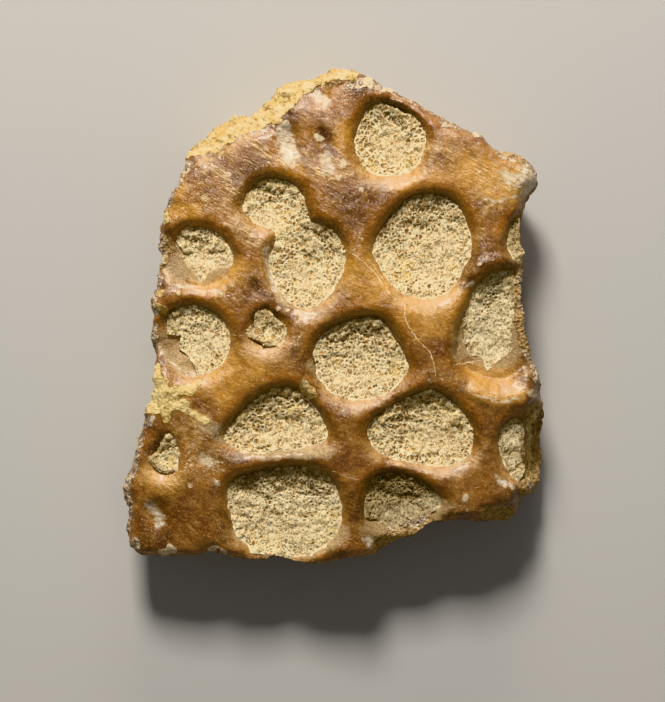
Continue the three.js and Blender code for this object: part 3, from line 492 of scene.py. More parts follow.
def wavy(points, size, shift=0.0):
    """Smooth noise at each point, from about -1 to 1, that changes over size millimetres."""
    return np.array([noise.noise(Vector(p) / size + Vector((shift, shift, shift))) for p in points])


def frayed(points, amount=0.3):
    """Each point's x and y moved about a little, so that whatever is painted there gets a wandering edge."""
    drift = [amount * (wavy(points, 0.9, lane) + 0.5 * wavy(points, 0.35, lane)) for lane in (3.0, 7.0)]
    return points[:, :2] + np.stack(drift, axis=1)


def smoothstep(values, start, end):
    """How far each value has come, softly, from start (0) to end (1)."""
    t = np.clip((values - start) / (end - start), 0, 1)
    return t * t * (3 - 2 * t)


def hand_over(piece, material, node=None):
    """Finishes the piece, which is selected, attaches it to the root, and hides the CAD node it stands for,
    if it does.
    """
    piece.data.materials.append(material)
    bpy.ops.object.shade_smooth()
    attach(piece, "root")
    if node:
        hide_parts(node)


# ---------------------------------------------------------------- finishes
class Finish:
    """A procedural material, whose patterns are sized in millimetres on the object itself."""

    def __init__(self, name):
        self.material = bpy.data.materials.new(name)
        self.material.use_nodes = True
        self.tree = self.material.node_tree
        self.shader = self.tree.nodes["Principled BSDF"]
        place = self.tree.nodes.new("ShaderNodeTexCoord")
        self.place = self.add("ShaderNodeVectorMath", operation="SCALE", Vector=place.outputs["Object"],
                              Scale=1 / MM)

    def add(self, kind, output=0, **values):
        """Adds a node. Each value is one of its properties, or goes into the input of that name, where i0
        is the first input. Gives the node's output of that name or number."""
        node = self.tree.nodes.new(kind)
        for key in [key for key in values if hasattr(node, key)]:
            setattr(node, key, values.pop(key))
        for key, value in values.items():
            numbered = key[0] == "i" and key[1:].isdigit()
            self.feed(node.inputs[int(key[1:]) if numbered else key], value)
        return node.outputs[output]

    def feed(self, socket, value):
        """Links a socket to this one, or gives it a number or a colour code."""
        if isinstance(value, bpy.types.NodeSocket):
            self.tree.links.new(value, socket)
        else:
            socket.default_value = colour(value) if isinstance(value, str) else value

    def attribute(self, name):
        """What was painted on the piece under that name."""
        return self.add("ShaderNodeAttribute", output="Fac", attribute_name=name)

    def noise(self, size, detail=4.0, rough=0.55, stretch=None, turn=0.0, twist=0.0):
        """Cloudy noise; stretch makes its features longer along the direction turn, in degrees."""
        place = self.place
        if stretch:
            place = self.add("ShaderNodeMapping", vector_type="TEXTURE", Vector=place,
                             Rotation=(0, 0, math.radians(turn)), Scale=(*stretch, 1))
        return self.add("ShaderNodeTexNoise", Vector=place, Scale=1 / size, Detail=detail, Roughness=rough,
                        Distortion=twist)

    def cells(self, size):
        """How far each place is from the middle of its cell."""
        return self.add("ShaderNodeTexVoronoi", output="Distance", Vector=self.place, Scale=1 / size)

    def math(self, operation, first, second):
        """One operation on two values."""
        return self.add("ShaderNodeMath", operation=operation, i0=first, i1=second)

    def times(self, *factors):
        """All the factors multiplied."""
        product = factors[0]
        for factor in factors[1:]:
            product = self.math("MULTIPLY", product, factor)
        return product

    def ramp(self, value, low, high, start=0.0, end=1.0):
        """value taken from low..high to start..end, and no further."""
        return self.add("ShaderNodeMapRange", interpolation_type="SMOOTHSTEP", i0=value, i1=low, i2=high,
                        i3=start, i4=end)

    def mix(self, share, first, second):
        """The first colour, with that share of the second."""
        return self.add("ShaderNodeMix", output=2, data_type="RGBA", i0=share, i6=first, i7=second)

    def ragged(self, attribute, size, rough=1.2, low=0.4, high=0.6):
        """A painted patch whose edge wanders and frays over size millimetres."""
        cover = self.attribute(attribute)
        fray = self.times(self.math("SUBTRACT", self.noise(size, detail=6, rough=0.7), 0.5), rough)
        return self.times(self.ramp(self.math("ADD", cover, fray), low, high), self.ramp(cover, 0.0, 0.15))

    def set(self, **inputs):
        """Gives the shader its inputs, whose names have a _ for each space."""
        for key, value in inputs.items():
            self.feed(self.shader.inputs[key.replace("_", " ")], value)

    def bump(self, height, depth, under=None):
        """Fine relief: depth is the millimetres between a height of 0 and one of 1."""
        values = {"Height": height, "Distance": depth * MM, "Strength": 1.0}
        if under:
            values["Normal"] = under
        return self.add("ShaderNodeBump", **values)


def colour(code):
    """A colour from its code, as the shaders want it."""
    channels = [int(code[i:i + 2], 16) / 255 for i in (1, 3, 5)]
    return (*[c / 12.92 if c <= 0.04045 else ((c + 0.055) / 1.055) ** 2.4 for c in channels], 1.0)


def bone_finish():
    """Amber bone, polished where it is whole, and marked, dusted and broken where it was painted so, with
    painted glow, shade, sheen and highlights.
    """
    f = Finish("amber_bone")
    rim = f.attribute("rim")
    side = f.attribute("side")
    clouds = f.noise(3.0, detail=5, rough=0.6)
    mottle = f.noise(1.0, detail=6, rough=0.68, stretch=(1.25, 0.9), turn=-20, twist=0.3)
    fibres = f.noise(0.35, detail=5, rough=0.65, stretch=(1.4, 0.9), turn=-20)
    specks = f.noise(0.17, detail=3, rough=0.75)
    crumble = f.noise(0.4, detail=6, rough=0.75)

    # The amber itself, with its golden and dark stains and its fibres.
    tone = f.mix(f.ramp(clouds, 0.36, 0.66), "#70451f", "#9d6b33")
    tone = f.mix(f.ramp(mottle, 0.45, 0.72, 0, 0.55), tone, "#c09559")
    tone = f.mix(f.ramp(mottle, 0.46, 0.3, 0, 0.5), tone, "#52300f")
    golden = f.times(f.attribute("golden"), f.ramp(mottle, 0.3, 0.6, 0.5, 1.0))
    tone = f.mix(f.times(golden, 0.7), tone, "#d8a04a")
    umber = f.times(f.attribute("umber"), f.ramp(mottle, 0.34, 0.62, 1.0, 0.35))
    tone = f.mix(f.times(umber, 0.7), tone, "#3d230e")
    tone = f.mix(f.ramp(fibres, 0.52, 0.74, 0, 0.25), tone, "#c99a5c")
    tone = f.mix(f.ramp(fibres, 0.46, 0.28, 0, 0.25), tone, "#573010")

    # Above a pit: a painted glow along the lip, and painted shade down the wall.
    upper = f.ramp(side, -0.1, 0.7)
    lip = f.times(f.ramp(rim, 0.45, 0.9), f.ramp(rim, 2.0, 1.1))
    painted_glow = f.times(lip, upper, f.ramp(clouds, 0.35, 0.6, 0.3, 1.0))
    tone = f.mix(f.times(painted_glow, 0.55), tone, "#a8691f")
    # painted shade down the pit's upper wall, below the lip
    wall = f.times(f.ramp(rim, 0.75, 0.3), f.ramp(side, 0.25, 0.85, 0.0, 0.8))
    tone = f.mix(wall, tone, "#3a2410")

    # Below a pit, where the lip faces the light, a pale bloom that is partly painted sheen.
    lower = f.ramp(side, 0.1, -0.8)
    breath = f.noise(0.6, detail=6, rough=0.75)
    wisps = f.noise(0.35, detail=5, rough=0.7, stretch=(2.2, 0.8), turn=-15, twist=0.4)
    sheen_and_bloom = f.times(f.ramp(rim, 2.3, 0.5), lower, f.ramp(breath, 0.34, 0.6, 0.1, 1.0))
    sheen_and_bloom = f.math("MAXIMUM", sheen_and_bloom, f.times(f.attribute("sheen_and_bloom"), f.ramp(breath, 0.4, 0.6, 0.1, 0.9)))
    unstained = f.ramp(f.attribute("umber"), 0.1, 0.9, 1.0, 0.35)
    sheen_and_bloom = f.times(sheen_and_bloom, f.ramp(wisps, 0.35, 0.6, 0.55, 1.0), unstained)
    tone = f.mix(f.times(sheen_and_bloom, 0.68), tone, "#dcb57b")

    # Specks and dots (the pale specks partly painted glints), the clay film, pale worn spots with painted
    # crest highlights, and scratches with painted highlights.
    tone = f.mix(f.ramp(specks, 0.55, 0.69, 0, 0.75), tone, "#e0b87e")
    tone = f.mix(f.ramp(specks, 0.45, 0.31, 0, 0.7), tone, "#472a12")
    dots = f.times(f.attribute("speckled"), f.ramp(f.noise(0.3, detail=3, rough=0.8), 0.56, 0.64))
    tone = f.mix(f.times(dots, 0.8), tone, "#e3d3b4")
    film = f.ragged("film", 0.7, rough=1.3, low=0.25, high=0.85)
    tone = f.mix(f.times(film, 0.6), tone, f.mix(f.ramp(specks, 0.35, 0.65), "#98805a", "#c9b286"))
    pale = f.ragged("pale_marks_and_glints", 0.5, rough=2.4, low=0.35, high=1.2)
    tone = f.mix(f.times(pale, 0.85), tone, f.mix(f.ramp(wisps, 0.35, 0.6), "#b39c78", "#f0e6cf"))

    # Broken bone is spongy, weathered bone flaky, and the crust sandy.
    broken = f.ragged("broken", 0.45, rough=1.4, low=0.4, high=0.65)
    spongy = f.mix(f.ramp(crumble, 0.36, 0.6), "#5e4220", "#b8955f")
    spongy = f.mix(f.ramp(specks, 0.52, 0.66, 0, 0.75), spongy, "#d9bf90")
    tone = f.mix(broken, tone, spongy)
    weathered = f.ragged("weathered", 0.5, rough=1.6, low=0.35, high=0.65)
    flaky = f.mix(f.ramp(crumble, 0.4, 0.62), "#5f4430", "#cdb28c")
    flaky = f.mix(f.ramp(specks, 0.5, 0.62, 0, 0.7), flaky, "#efe0c4")
    tone = f.mix(weathered, tone, flaky)
    crust = f.ragged("crust", 0.55, rough=0.9, low=0.42, high=0.5)
    sand = f.mix(f.ramp(crumble, 0.36, 0.54), "#8a642e", "#dcbd76")
    sand = f.mix(f.ramp(mottle, 0.46, 0.6, 0, 0.7), sand, "#f1deac")
    sand = f.mix(f.ramp(clouds, 0.54, 0.64, 0, 0.5), sand, "#cfa14c")
    sand = f.mix(f.ramp(specks, 0.44, 0.32, 0, 0.4), sand, "#7a5524")
    bright = f.times(f.attribute("golden"), f.ramp(crumble, 0.34, 0.54, 0.15, 0.75))
    sand = f.mix(bright, sand, "#fade98")
    tone = f.mix(crust, tone, sand)
    chalk = f.ragged("crumbs", 0.3, rough=1.2, low=0.4, high=0.6)
    tone = f.mix(f.times(chalk, 0.85), tone, f.mix(f.ramp(specks, 0.35, 0.6), "#bf9f72", "#ecdcba"))

    striae = f.noise(0.27, detail=3, rough=0.6, stretch=(6.0, 1.0), turn=-33, twist=0.25)
    scratches_and_glints = f.times(f.ramp(striae, 0.52, 0.62), f.attribute("striated"), f.ramp(f.noise(1.2), 0.4, 0.55))
    tone = f.mix(f.times(scratches_and_glints, 0.75), tone, "#ecca8c")

    # All but the whole bone is dull.
    dull = f.times(pale, 0.6)
    for matt in (crust, broken, weathered, chalk, f.times(film, 0.8)):
        dull = f.math("MAXIMUM", dull, matt)
    gloss = f.ramp(f.noise(0.5, detail=5, rough=0.7), 0.35, 0.65, 0.16, 0.36)
    rough = f.add("ShaderNodeMix", data_type="FLOAT", i0=dull, i2=gloss, i3=0.85)

    grain = f.bump(specks, 0.06)
    grain = f.bump(f.noise(0.5, detail=5, rough=0.65, stretch=(1.5, 0.8), turn=-25), 0.1, under=grain)
    grain = f.bump(scratches_and_glints, 0.05, under=grain)
    coarse = f.times(f.cells(0.32), f.math("MAXIMUM", broken, weathered))
    grain = f.bump(coarse, 0.15, under=grain)
    grain = f.bump(f.times(f.noise(0.7, detail=4, rough=0.6), crust), 0.4, under=grain)
    f.set(Base_Color=tone, Roughness=rough, Normal=grain, Coat_Weight=0.15, Coat_Roughness=0.15, IOR=1.54,
          Specular_IOR_Level=0.8)
    return f.material


def matrix_finish(sort):
    """Cemented sand: pale cement round tan grains, with dark open pores and smooth lumps."""
    cement, light, dark, pore, ochre = SANDS[sort]
    f = Finish(sort + "_matrix")
    dust = f.noise(0.16, detail=4, rough=0.7)
    blots = f.noise(0.42, detail=4, rough=0.65)
    clods = f.noise(0.75, detail=2, rough=0.5)
    patches = f.noise(1.5, detail=4, rough=0.6)

    # The grains, each with its own shade, in darker and paler clods.
    shades = f.math("ADD", f.attribute("grain"), f.times(f.math("SUBTRACT", blots, 0.5), 2.2))
    tone = f.mix(f.ramp(shades, -0.1, 0.9), dark, light)
    tone = f.mix(f.ramp(shades, 0.85, 1.4, 0, 0.6), tone, cement)
    tone = f.mix(f.times(f.attribute("ringed"), 0.55), tone, dark)
    tone = f.mix(f.ramp(clods, 0.48, 0.34, 0, 0.65), tone, dark)
    tone = f.mix(f.ramp(clods, 0.54, 0.68, 0, 0.6), tone, cement)
    tone = f.mix(f.ramp(patches, 0.5, 0.68, 0, 0.5), tone, ochre)
    tone = f.mix(f.times(f.ragged("ochre", 0.6, rough=1.6, low=0.1, high=1.1), 0.6), tone, ochre)

    # The cement between them, washed over them here and there, and the smooth lumps and chalky parts.
    fade = f.ramp(f.noise(0.7, detail=5, rough=0.7), 0.38, 0.55, 0.4, 1.0)
    joints = f.times(f.ramp(f.attribute("wall"), 0.065, 0.02), fade)
    tone = f.mix(joints, tone, cement)
    washed = f.ramp(f.noise(1.1, detail=5, rough=0.7, twist=0.5), 0.5, 0.68, 0, 0.5)
    tone = f.mix(washed, tone, cement)
    lump = f.mix(f.ramp(f.noise(0.9, detail=3), 0.4, 0.6), "#cbae80", "#ecd49c")
    tone = f.mix(f.times(f.attribute("lump"), 0.5), tone, lump)
    chalk = f.times(f.ragged("chalky", 0.6, rough=1.4, low=0.2, high=1.0), 0.5)
    tone = f.mix(chalk, tone, f.mix(f.ramp(dust, 0.35, 0.65), light, "#f9efcc"))

    # Darker towards the upper edge and the pit's upper wall, painted shade in the crannies, pores and dust.
    upper_darkening = f.ragged("upper_darkening", 0.5, rough=1.6, low=0.25, high=0.9)
    shade = f.mix(joints, f.mix(0.35, dark, pore), f.mix(0.4, cement, dark))
    tone = f.mix(f.times(upper_darkening, 0.75), tone, shade)
    tone = f.mix(f.times(f.attribute("arcs"), f.ramp(blots, 0.6, 0.4, 0.5, 0.95)), tone, pore)
    # painted shade in the crannies
    tone = f.mix(f.times(f.ragged("cranny_shade", 0.3, rough=2.0, low=0.5, high=1.1), 0.7), tone, pore)
    holes = f.math("MAXIMUM", f.times(f.attribute("pores"), 0.8), f.ramp(blots, 0.38, 0.3, 0, 0.5))
    tone = f.mix(f.times(holes, f.ramp(dust, 0.25, 0.6, 1.0, 0.6)), tone, pore)
    tone = f.mix(f.ramp(f.cells(0.21), 0.3, 0.14, 0, 0.45), tone, dark)
    tone = f.mix(f.ramp(dust, 0.52, 0.64, 0, 0.85), tone, cement)
    tone = f.mix(f.ramp(dust, 0.48, 0.34, 0, 0.85), tone, dark)

    # The crusty edge over bare bone, and a pale line along the plug's lower edges, where it meets the pit's
    # wall.
    crusted = f.times(f.attribute("fringe"), f.ramp(clods, 0.38, 0.55, 0.3, 0.8))
    tone = f.mix(crusted, tone, f.mix(f.ramp(dust, 0.35, 0.65), "#98805a", "#d4bf92"))
    low_side = f.ramp(f.attribute("side"), 0.3, -0.5, 0.15, 1.0)
    walled = f.ramp(f.attribute("fringe"), 0.1, 0.7, 1.0, 0.3)
    pale_lower_edge = f.times(f.ramp(f.attribute("clearance"), 0.2, 0.1), f.ramp(patches, 0.4, 0.6, 0.3, 1.0), low_side)
    tone = f.mix(f.times(pale_lower_edge, walled), tone, "#fff0c8")
    f.set(Base_Color=tone, Roughness=0.88, Normal=f.bump(dust, 0.08), Specular_IOR_Level=0.35)
    return f.material


def vein_finish():
    """Pale calcite, yellower here and there."""
    f = Finish("calcite_vein")
    tone = f.mix(f.ramp(f.noise(0.5, detail=4), 0.35, 0.65), "#cfa066", "#fbe9c2")
    f.set(Base_Color=tone, Roughness=0.5)
    return f.material


# ---------------------------------------------------------------- the ground that plugs lie on
class Outlines:
    """The edges of all the plugs, seen from above."""

    def __init__(self, nodes, ground):
        highest = {}
        for node in nodes:
            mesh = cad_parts[node].data
            for face in [face for face in mesh.polygons if abs(face.normal.z) <= SIDE_TILT]:
                corners = [mesh.vertices[v].co / MM for v in face.vertices]
                top = max(c.z for c in corners)
                for a, b in zip(corners, corners[1:] + corners[:1]):
                    for share in QUARTERS:
                        x, y = a.lerp(b, share).xy
                        spot = (round(x, 2), round(y, 2))
                        highest[spot] = max(highest.get(spot, (0.0,)), (top, face.normal.y, node))
        self.nodes = [node for _, _, node in highest.values()]
        self.level = np.array([top for top, _, _ in highest.values()])
        self.up = np.array([up for _, up, _ in highest.values()])
        spots = np.column_stack([list(highest), self.level])
        self.open = smoothstep(self.level - heights_over(ground, spots), 0.8, 1.1)
        self.tree = tree_of(spots)

    def measure(self, points):
        """For each point: its distance to the nearest plug's edge, how far up (+Y) that edge looks, how
        high the plug is there, and how far (0 to 1) its edge stands clear of the pit's wall."""
        far, up, level, clear = np.empty((4, len(points)))
        for i, (x, y, _) in enumerate(points):
            near = self.tree.find_n((x, y, 0.0), 12)
            indices = [index for _, index, _ in near]
            shares = np.array([1 / (0.25 + distance) for _, _, distance in near])
            shares /= shares.sum()
            far[i] = near[0][2]
            up[i] = shares @ self.up[indices]
            level[i] = shares @ self.level[indices]
            clear[i] = shares @ self.open[indices]
        return far, up, level, clear

    def under_plug(self, points, plugs):
        """Which points lie under the nearest plug, and not just under its edge."""
        turns = np.arange(0, 2 * math.pi, math.pi / 3)
        around = [(0.3 * math.cos(turn), 0.3 * math.sin(turn)) for turn in turns]
        inside = np.zeros(len(points), bool)
        for i, (x, y, _) in enumerate(points):
            piece = plugs[self.nodes[self.tree.find((x, y, 0.0))[1]]]
            starts = (Vector((x + dx, y + dy, OVERHEAD)) * MM for dx, dy in around)
            inside[i] = all(piece.ray_cast(start, DOWN)[0] for start in starts)
        return inside


# ---------------------------------------------------------------- the matrix
def fill_pit(piece, ground, outlines, spread):
    """Pushes the plug's sides out into the wall of its pit, up to spread millimetres, wherever the wall
    would hide them, and over the bare bone where the matrix spills. Gives its new edge: for each spot
    of it, its x and y and how far it stands clear of the bone."""
    tilt = read(piece.data.polygon_normals, "vector")[:, 2]
    on_side = {v for face in piece.data.polygons if abs(tilt[face.index]) < SIDE_TILT for v in face.vertices}
    side = np.isin(np.arange(len(piece.data.vertices)), list(on_side))
    points = points_of(piece)
    outward = normals_of(piece)[:, :2].copy()
    outward /= np.maximum(np.linalg.norm(outward, axis=1, keepdims=True), 1e-6)
    level = outlines.measure(points)[2]
    apron = airbrush(points, SPILLS)
    reach = np.zeros(len(points))
    hidden = np.zeros(len(points), bool)
    for step in np.arange(PUSH_STEP, spread + 0.01, PUSH_STEP):
        tip = points.copy()
        tip[:, :2] += outward * step
        over = heights_over(ground, tip) - level
        hidden |= side & (over > 0.1)
        reach[side & ((over > 0.1) | ((over > -SPILL_DROP) & (step < apron)))] = step
    for i in np.nonzero(hidden)[0]:
        near = hidden & (np.hypot(*(points[:, :2] - points[i, :2]).T) < 1.3)
        reach[i] = min(reach[i], reach[near].mean())
    slide(piece, outward * reach[:, None])

    points = points_of(piece)
    clear = np.clip(level - heights_over(ground, points), 0, SPILL_DROP) * ~hidden
    ring = np.column_stack([points[:, :2], clear])
    edge_spots = []
    for a, b in [edge.vertices for edge in piece.data.edges]:
        if side[a] and side[b] and min(points[a, 2] - level[a], points[b, 2] - level[b]) > -0.1:
            edge_spots += [tuple(ring[a] * (1 - share) + ring[b] * share) for share in QUARTERS]
    pick(piece, "edges", [on_side.issuperset(edge.vertices) for edge in piece.data.edges])
    bpy.ops.transform.edge_crease(value=1.0)
    modify(piece, "SUBSURF", levels=2, render_levels=2)
    modify(piece, "REMESH", mode="VOXEL", voxel_size=PLUG_MESH * MM)
    return edge_spots


def thin_out(piece, ground, edge_spots, width):
    """An edge that stands clear of the wall wanders about and slopes down, over width millimetres, to the
    bare bone. Gives how far (0 to 1) each point belongs to such an edge."""
    tree = tree_of(edge_spots)
    openness = np.minimum(np.array(edge_spots)[:, 2] / 0.15, 1)
    points = points_of(piece)
    far, is_open = np.empty((2, len(points)))
    for i, (x, y, _) in enumerate(points):
        near = tree.find_n((x, y, 0.0), 10)
        shares = [1 / (0.3 + distance) for _, _, distance in near]
        far[i] = near[0][2]
        is_open[i] = sum(share * openness[index] for share, (_, index, _) in zip(shares, near)) / sum(shares)
    drift = frayed(points, 0.8 * width) - points[:, :2]
    slide(piece, drift * (is_open * smoothstep(far, 1.5, 0.4))[:, None])
    points = points_of(piece)
    over = heights_over(ground, points)
    gap = np.where(over < 0, 0, np.clip(points[:, 2] - over, -0.03, 0.17) + 0.03)
    shift(piece, "Z", -is_open * smoothstep(far, width, 0.0) * gap)
    return is_open * smoothstep(far, 0.9, 0.2)


def packed_grains(spots, size, name):
    """Round grains packed side by side, seen from above. For each spot: how far it is from its grain's
    middle, how far inside that grain's edge, how far along the grain's own direction, and three numbers
    that are the grain's own."""
    draw = random.Random(name)
    stray = 0.42  # how far a grain may lie from its place in even rows, as a share of its size
    (left, low), (right, high) = spots.min(axis=0) - 1, spots.max(axis=0) + 1
    grains = []
    row = 0
    y = low
    while y < high:
        x = left + (row % 2) * size / 2
        while x < right:
            turn = draw.uniform(0, 2 * math.pi)
            grains.append((x + draw.uniform(-stray, stray) * size, y + draw.uniform(-stray, stray) * size,
                           draw.uniform(0, 0.5) * size, math.cos(turn), math.sin(turn),
                           draw.random(), draw.random(), draw.random()))
            x += size
        y += size * 0.87
        row += 1
    tree = tree_of(grains)
    middle, inside = np.empty((2, len(spots)))
    own = np.empty(len(spots), int)
    for i, (x, y) in enumerate(spots):
        near = sorted((far - grains[index][2], far, index) for _, index, far in tree.find_n((x, y, 0.0), 4))
        middle[i] = near[0][1]
        inside[i] = (near[1][0] - near[0][0]) / 2
        own[i] = near[0][2]
    grains = np.array(grains)[own]
    along = ((spots - grains[:, :2]) * grains[:, 3:5]).sum(axis=1)
    return middle, inside, along, *grains[:, 5:].T


def dress_plug(piece, node, edge_spots, ground, outlines, finish):
    """Gives the plug its thin edges, lumps, crags, grains and pores, and paints where they are."""
    style = PLUGS[node]
    fringe = thin_out(piece, ground, edge_spots, style.slope)

    points = points_of(piece)
    low, high = points.min(axis=0), points.max(axis=0)
    far, up, _, _ = outlines.measure(points)
    top = smoothstep(normals_of(piece)[:, 2], 0.1, 0.5)
    height_up = (points[:, 1] - low[1]) / (high[1] - low[1])
    near_wall = smoothstep(far, 2.6, 1.0) * smoothstep(up, 0.0, 0.8)
    brushed = frayed(points)
    chalky = airbrush(brushed, CHALKY)
    lump_height, on_lump = mounds(brushed, NODULES)
    smooth = np.maximum(0.5 * on_lump, 0.6 * chalky)
    craggy = np.maximum(smoothstep(height_up, 0.55, 0.95), near_wall) + 0.35 * wavy(points, 0.9)
    craggy = np.clip(craggy, 0, 1) * (1 - smooth)
    weight(piece, "top", top)
    weight(piece, "craggy", top * craggy * style.crags)
    clefts = {"middle": 0.6, "weight_1": -1.0, "weight_2": 1.0}
    relief(piece, "CLOUDS", 1.5, style.lumps, "top", direction="Z", noise_depth=2)
    relief(piece, "CLOUDS", 0.6, style.lumps * 0.4, "top", direction="Z", noise_depth=1)
    relief(piece, "VORONOI", 0.75, 0.15, "top", direction="Z", ramp=(0.0, 0.5), **clefts)
    relief(piece, "VORONOI", 0.95, 0.4, "craggy", direction="Z", ramp=(0.02, 0.4), **clefts)
    relief(piece, "CLOUDS", 0.55, 0.25, "craggy", middle=0.55, direction="Z", noise_depth=2)

    cranny_shade = airbrush(brushed, CRANNY_SHADE) * (1 - on_lump)
    middle, inside, along, tone, luck, fate = packed_grains(frayed(points, 0.2), style.grain, node)
    hollow = smoothstep(inside, 0.02, 0.12) * (0.3 + 0.9 * luck) * (1 - 0.85 * smooth)
    pored = luck < 0.1 + 0.25 * craggy + 0.4 * wavy(points, 1.3, 5.0)
    pores = pored * smoothstep(middle, 0.13, 0.05) * (1 - smooth)
    arcs = (fate < style.rings + 0.2 * craggy) * smoothstep(along, -0.02, 0.1) * (1 - smooth)
    arcs = arcs * smoothstep(inside, 0.01, 0.04) * smoothstep(inside, 0.15, 0.09)
    sunk = CRANNY_DEPTH * cranny_shade + GRAIN_DEPTH * hollow + PORE_DEPTH * pores + ARC_DEPTH * arcs
    shift(piece, "Z", top * (lump_height - sunk))

    final = points_of(piece)
    # darker towards the plug's upper edge and near the pit's upper wall
    upper_darkening = np.maximum(smoothstep(height_up, 0.45, 0.85), near_wall) * style.darkening * (1 - 0.6 * smooth)
    layers = {
        "grain": tone, "wall": inside, "ringed": (fate > 1 - style.rings) * hollow, "arcs": arcs,
        "pores": pores, "lump": on_lump, "chalky": chalky, "ochre": airbrush(brushed, OCHRE),
        "cranny_shade": cranny_shade, "upper_darkening": upper_darkening, "side": up, "fringe": fringe,
        "clearance": final[:, 2] - heights_over(ground, final),
    }
    for name, values in layers.items():
        paint(piece, name, values)
    take(piece)
    hand_over(piece, finish, node)


# ---------------------------------------------------------------- the bone
def inset_of(points):
    """How far in each point lies from the plate's outline, along the line from the plate's middle."""
    directions = 720
    turn = np.arctan2(points[:, 1], points[:, 0])
    direction = ((turn + math.pi) / (2 * math.pi) * directions).astype(int) % directions
    out = np.hypot(points[:, 0], points[:, 1])
    outline = np.zeros(directions)
    np.maximum.at(outline, direction, out)
    return outline[direction] - out


def shape_bone():
    """The bone with its relief. Gives it with what was painted on it for its finish."""
    piece = copy_of("scute_bone", "fossil_bone")
    modify(piece, "SUBSURF", levels=2, render_levels=2)
    points = points_of(piece)
    normals = normals_of(piece)
    low_side = smoothstep(normals[:, 2], 0.35, 0.1) * smoothstep(inset_of(points), 4.0, 3.0)
    above_foot = smoothstep(points[:, 2], 0.1, 0.5)
    on_top = smoothstep(points[:, 2], 0.8, 2.0)
    brushed = frayed(points, 0.3 + 1.2 * low_side)
    proud = airbrush(points, PROUD) * smoothstep(normals[:, 2], 0.9, 0.4)
    swell = (0.12 * low_side + 0.25 * proud) * above_foot
    slide(piece, swell[:, None] * normals[:, :2])

    broken = np.maximum(low_side, airbrush(brushed, BROKEN)) * above_foot
    weathered = airbrush(brushed, WEATHERED) * smoothstep(points[:, 2], 2.5, 4.0)
    crust = airbrush(brushed, CRUST) * on_top
    crumbs = airbrush(frayed(points, 0.22), CRUMBS) * on_top
    weight(piece, "broken", broken)
    weight(piece, "weathered", weathered)
    weight(piece, "polished", (1 - broken) * smoothstep(points[:, 2], 0.4, 1.0))
    weight(piece, "crust", crust * smoothstep(points[:, 1], 6.0, 12.0))
    weight(piece, "thin_crust", crust * smoothstep(points[:, 1], 12.0, 6.0))
    lift = 0.12 * crust * smoothstep(points[:, 1], -4.0, 6.0) + 0.05 * crust + 0.07 * crumbs
    shift(piece, "Z", 0.25 * airbrush(points, RAISED) * on_top + lift)

    relief(piece, "CLOUDS", 1.4, 0.5, "broken", noise_depth=3)
    relief(piece, "CLOUDS", 0.5, 0.25, "broken", noise_depth=2)
    relief(piece, "VORONOI", 0.9, -0.4, "weathered", middle=0.45)
    relief(piece, "CLOUDS", 0.4, 0.25, "weathered", noise_depth=2)
    relief(piece, "CLOUDS", 1.0, 0.7, "crust", noise_depth=3)
    relief(piece, "CLOUDS", 0.5, 0.45, "crust", noise_depth=2)
    relief(piece, "CLOUDS", 0.9, 0.12, "thin_crust", noise_depth=2)
    relief(piece, "CLOUDS", 2.4, 0.2, "polished", noise_depth=2)
    relief(piece, "CLOUDS", 0.7, 0.1, "polished", noise_depth=2)
    return piece, {"broken": broken, "weathered": weathered, "crust": crust, "crumbs": crumbs}


def dress_bone(piece, outlines, plugs, masks):
    """Raises the bare floors round the plugs to the plugs' own height, and paints the bone's marks, including
    its painted shade, glow, sheen and highlights.
    """
    points = points_of(piece)
    far, up, level, clear = outlines.measure(points)
    kept = np.where(outlines.under_plug(points, plugs), BURIED_GAP, FLOOR_GAP)
    deep = np.clip(level - points[:, 2] - kept, 0, 1.3) * smoothstep(level - points[:, 2], 2.6, 1.6)
    shift(piece, "Z", deep * clear * smoothstep(far, 2.6, 1.0))
    brushed = frayed(points)
    masks |= {"rim": far, "side": up}
    for name, strokes in BONE_MARKS_AND_SHEEN.items():
        masks[name] = airbrush(brushed, strokes)
    masks["film"] = np.maximum(masks["film"], clear * smoothstep(far, 0.9, 0.3))
    for name, values in masks.items():
        paint(piece, name, values)
    take(piece)
    hand_over(piece, bone_finish(), "scute_bone")


# ---------------------------------------------------------------- veins
def vein(name, thickness, course, ground, finish):
    """A hairline filling that follows the surface along a slightly wandering course."""
    draw = random.Random(name)
    wander = 0.05
    bpy.ops.curve.primitive_bezier_curve_add(location=(0, 0, 0))
    line = bpy.context.object
    line.name = name
    line.data.splines.clear()
    spline = line.data.splines.new("POLY")
    spots = []
    for (ax, ay), (bx, by) in zip(course, course[1:]):
        steps = max(2, round(math.hypot(bx - ax, by - ay) / 0.22))
        for step in range(steps):
            share = step / steps
            x = ax + (bx - ax) * share + draw.uniform(-wander, wander)
            y = ay + (by - ay) * share + draw.uniform(-wander, wander)
            spots.append((x, y, 0.0))
    spline.points.add(len(spots) - 1)
    for i, ((x, y, _), z) in enumerate(zip(spots, heights_over(ground, spots))):
        taper = min(1.0, 0.35 + 4 * min(i, len(spots) - 1 - i) / len(spots))
        spline.points[i].co = (x * MM, y * MM, (z - 0.3 * thickness) * MM, 1)
        spline.points[i].radius = taper * draw.uniform(0.6, 1.15)
    line.data.bevel_depth = thickness * MM
    line.data.bevel_resolution = 1
    line.data.dimensions = "3D"
    line.data.use_fill_caps = True
    take(line)
    bpy.ops.object.convert(target="MESH")
    hand_over(bpy.context.object, finish)


# ---------------------------------------------------------------- stage
def stage():
    """A plain pale floor."""
    bpy.ops.mesh.primitive_plane_add(size=2.0, location=(0, 0, 0))
    floor = bpy.context.object
    floor.name = "floor"
    f = Finish("pale_floor")
    f.set(Base_Color=(0.5, 0.49, 0.475, 1), Roughness=0.9)
    floor.data.materials.append(f.material)


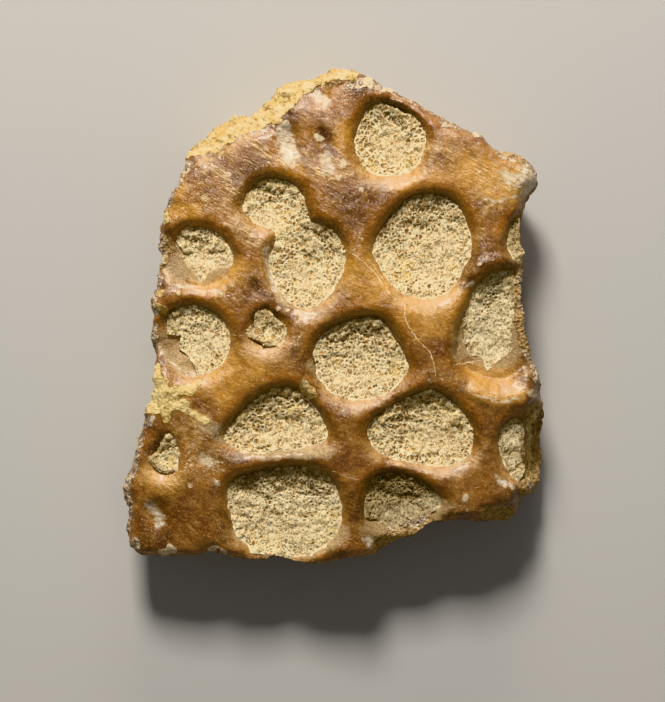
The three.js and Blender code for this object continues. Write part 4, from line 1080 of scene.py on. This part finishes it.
def lamp(name, spot, size, power, tint):
    """A soft square light that faces the plate."""
    spot = Vector(spot)
    bpy.ops.object.light_add(type="AREA", location=spot, rotation=(-spot).to_track_quat("-Z", "Y").to_euler())
    light = bpy.context.object
    light.name = name
    light.data.size = size
    light.data.energy = power
    light.data.color = tint


def lights_and_camera():
    """Low, warm light from the plate's far end and a little from the near one, and a camera overhead."""
    lamp("key_light", (-0.06, 0.34, 0.26), 0.1, 2.6, (1.0, 0.95, 0.87))
    lamp("low_light", (0.02, 0.42, 0.09), 0.16, 0.7, (1.0, 0.92, 0.85))
    lamp("fill_light", (0.15, -0.25, 0.45), 0.5, 0.25, (0.95, 0.97, 1.0))
    world = bpy.context.scene.world or bpy.data.worlds.new("studio")
    bpy.context.scene.world = world
    world.use_nodes = True
    background = world.node_tree.nodes["Background"]
    background.inputs["Color"].default_value = (1.0, 0.96, 0.9, 1)
    background.inputs["Strength"].default_value = 0.13

    lens, sensor = 100.0, 36.0
    height = (VIEW_LEVEL + VIEW_WIDTH * lens / sensor) * MM
    bpy.ops.object.camera_add(location=(VIEW_MIDDLE[0] * MM, VIEW_MIDDLE[1] * MM, height), rotation=(0, 0, 0))
    camera = bpy.context.object
    camera.data.sensor_fit = "HORIZONTAL"
    camera.data.sensor_width = sensor
    camera.data.lens = lens
    camera.data.clip_start = 0.01
    bpy.context.scene.camera = camera
    bpy.context.scene.view_settings.view_transform = "Khronos PBR Neutral"


# ---------------------------------------------------------------- the scute
fossil, bone_masks = shape_bone()
plug_outlines = Outlines(sorted(PLUGS), fossil)
plugs = {node: copy_of(node, "sandy_" + node) for node in PLUGS}
plug_edges = {node: fill_pit(plugs[node], fossil, plug_outlines, PLUGS[node].spread) for node in PLUGS}
dress_bone(fossil, plug_outlines, plugs, bone_masks)
sands = {sort: matrix_finish(sort) for sort in SANDS}
for node, plug in plugs.items():
    dress_plug(plug, node, plug_edges[node], fossil, plug_outlines, sands[PLUGS[node].sort])
calcite = vein_finish()
for name, (thickness, course) in VEINS.items():
    vein(name, thickness, course, fossil, calcite)
stage()
lights_and_camera()
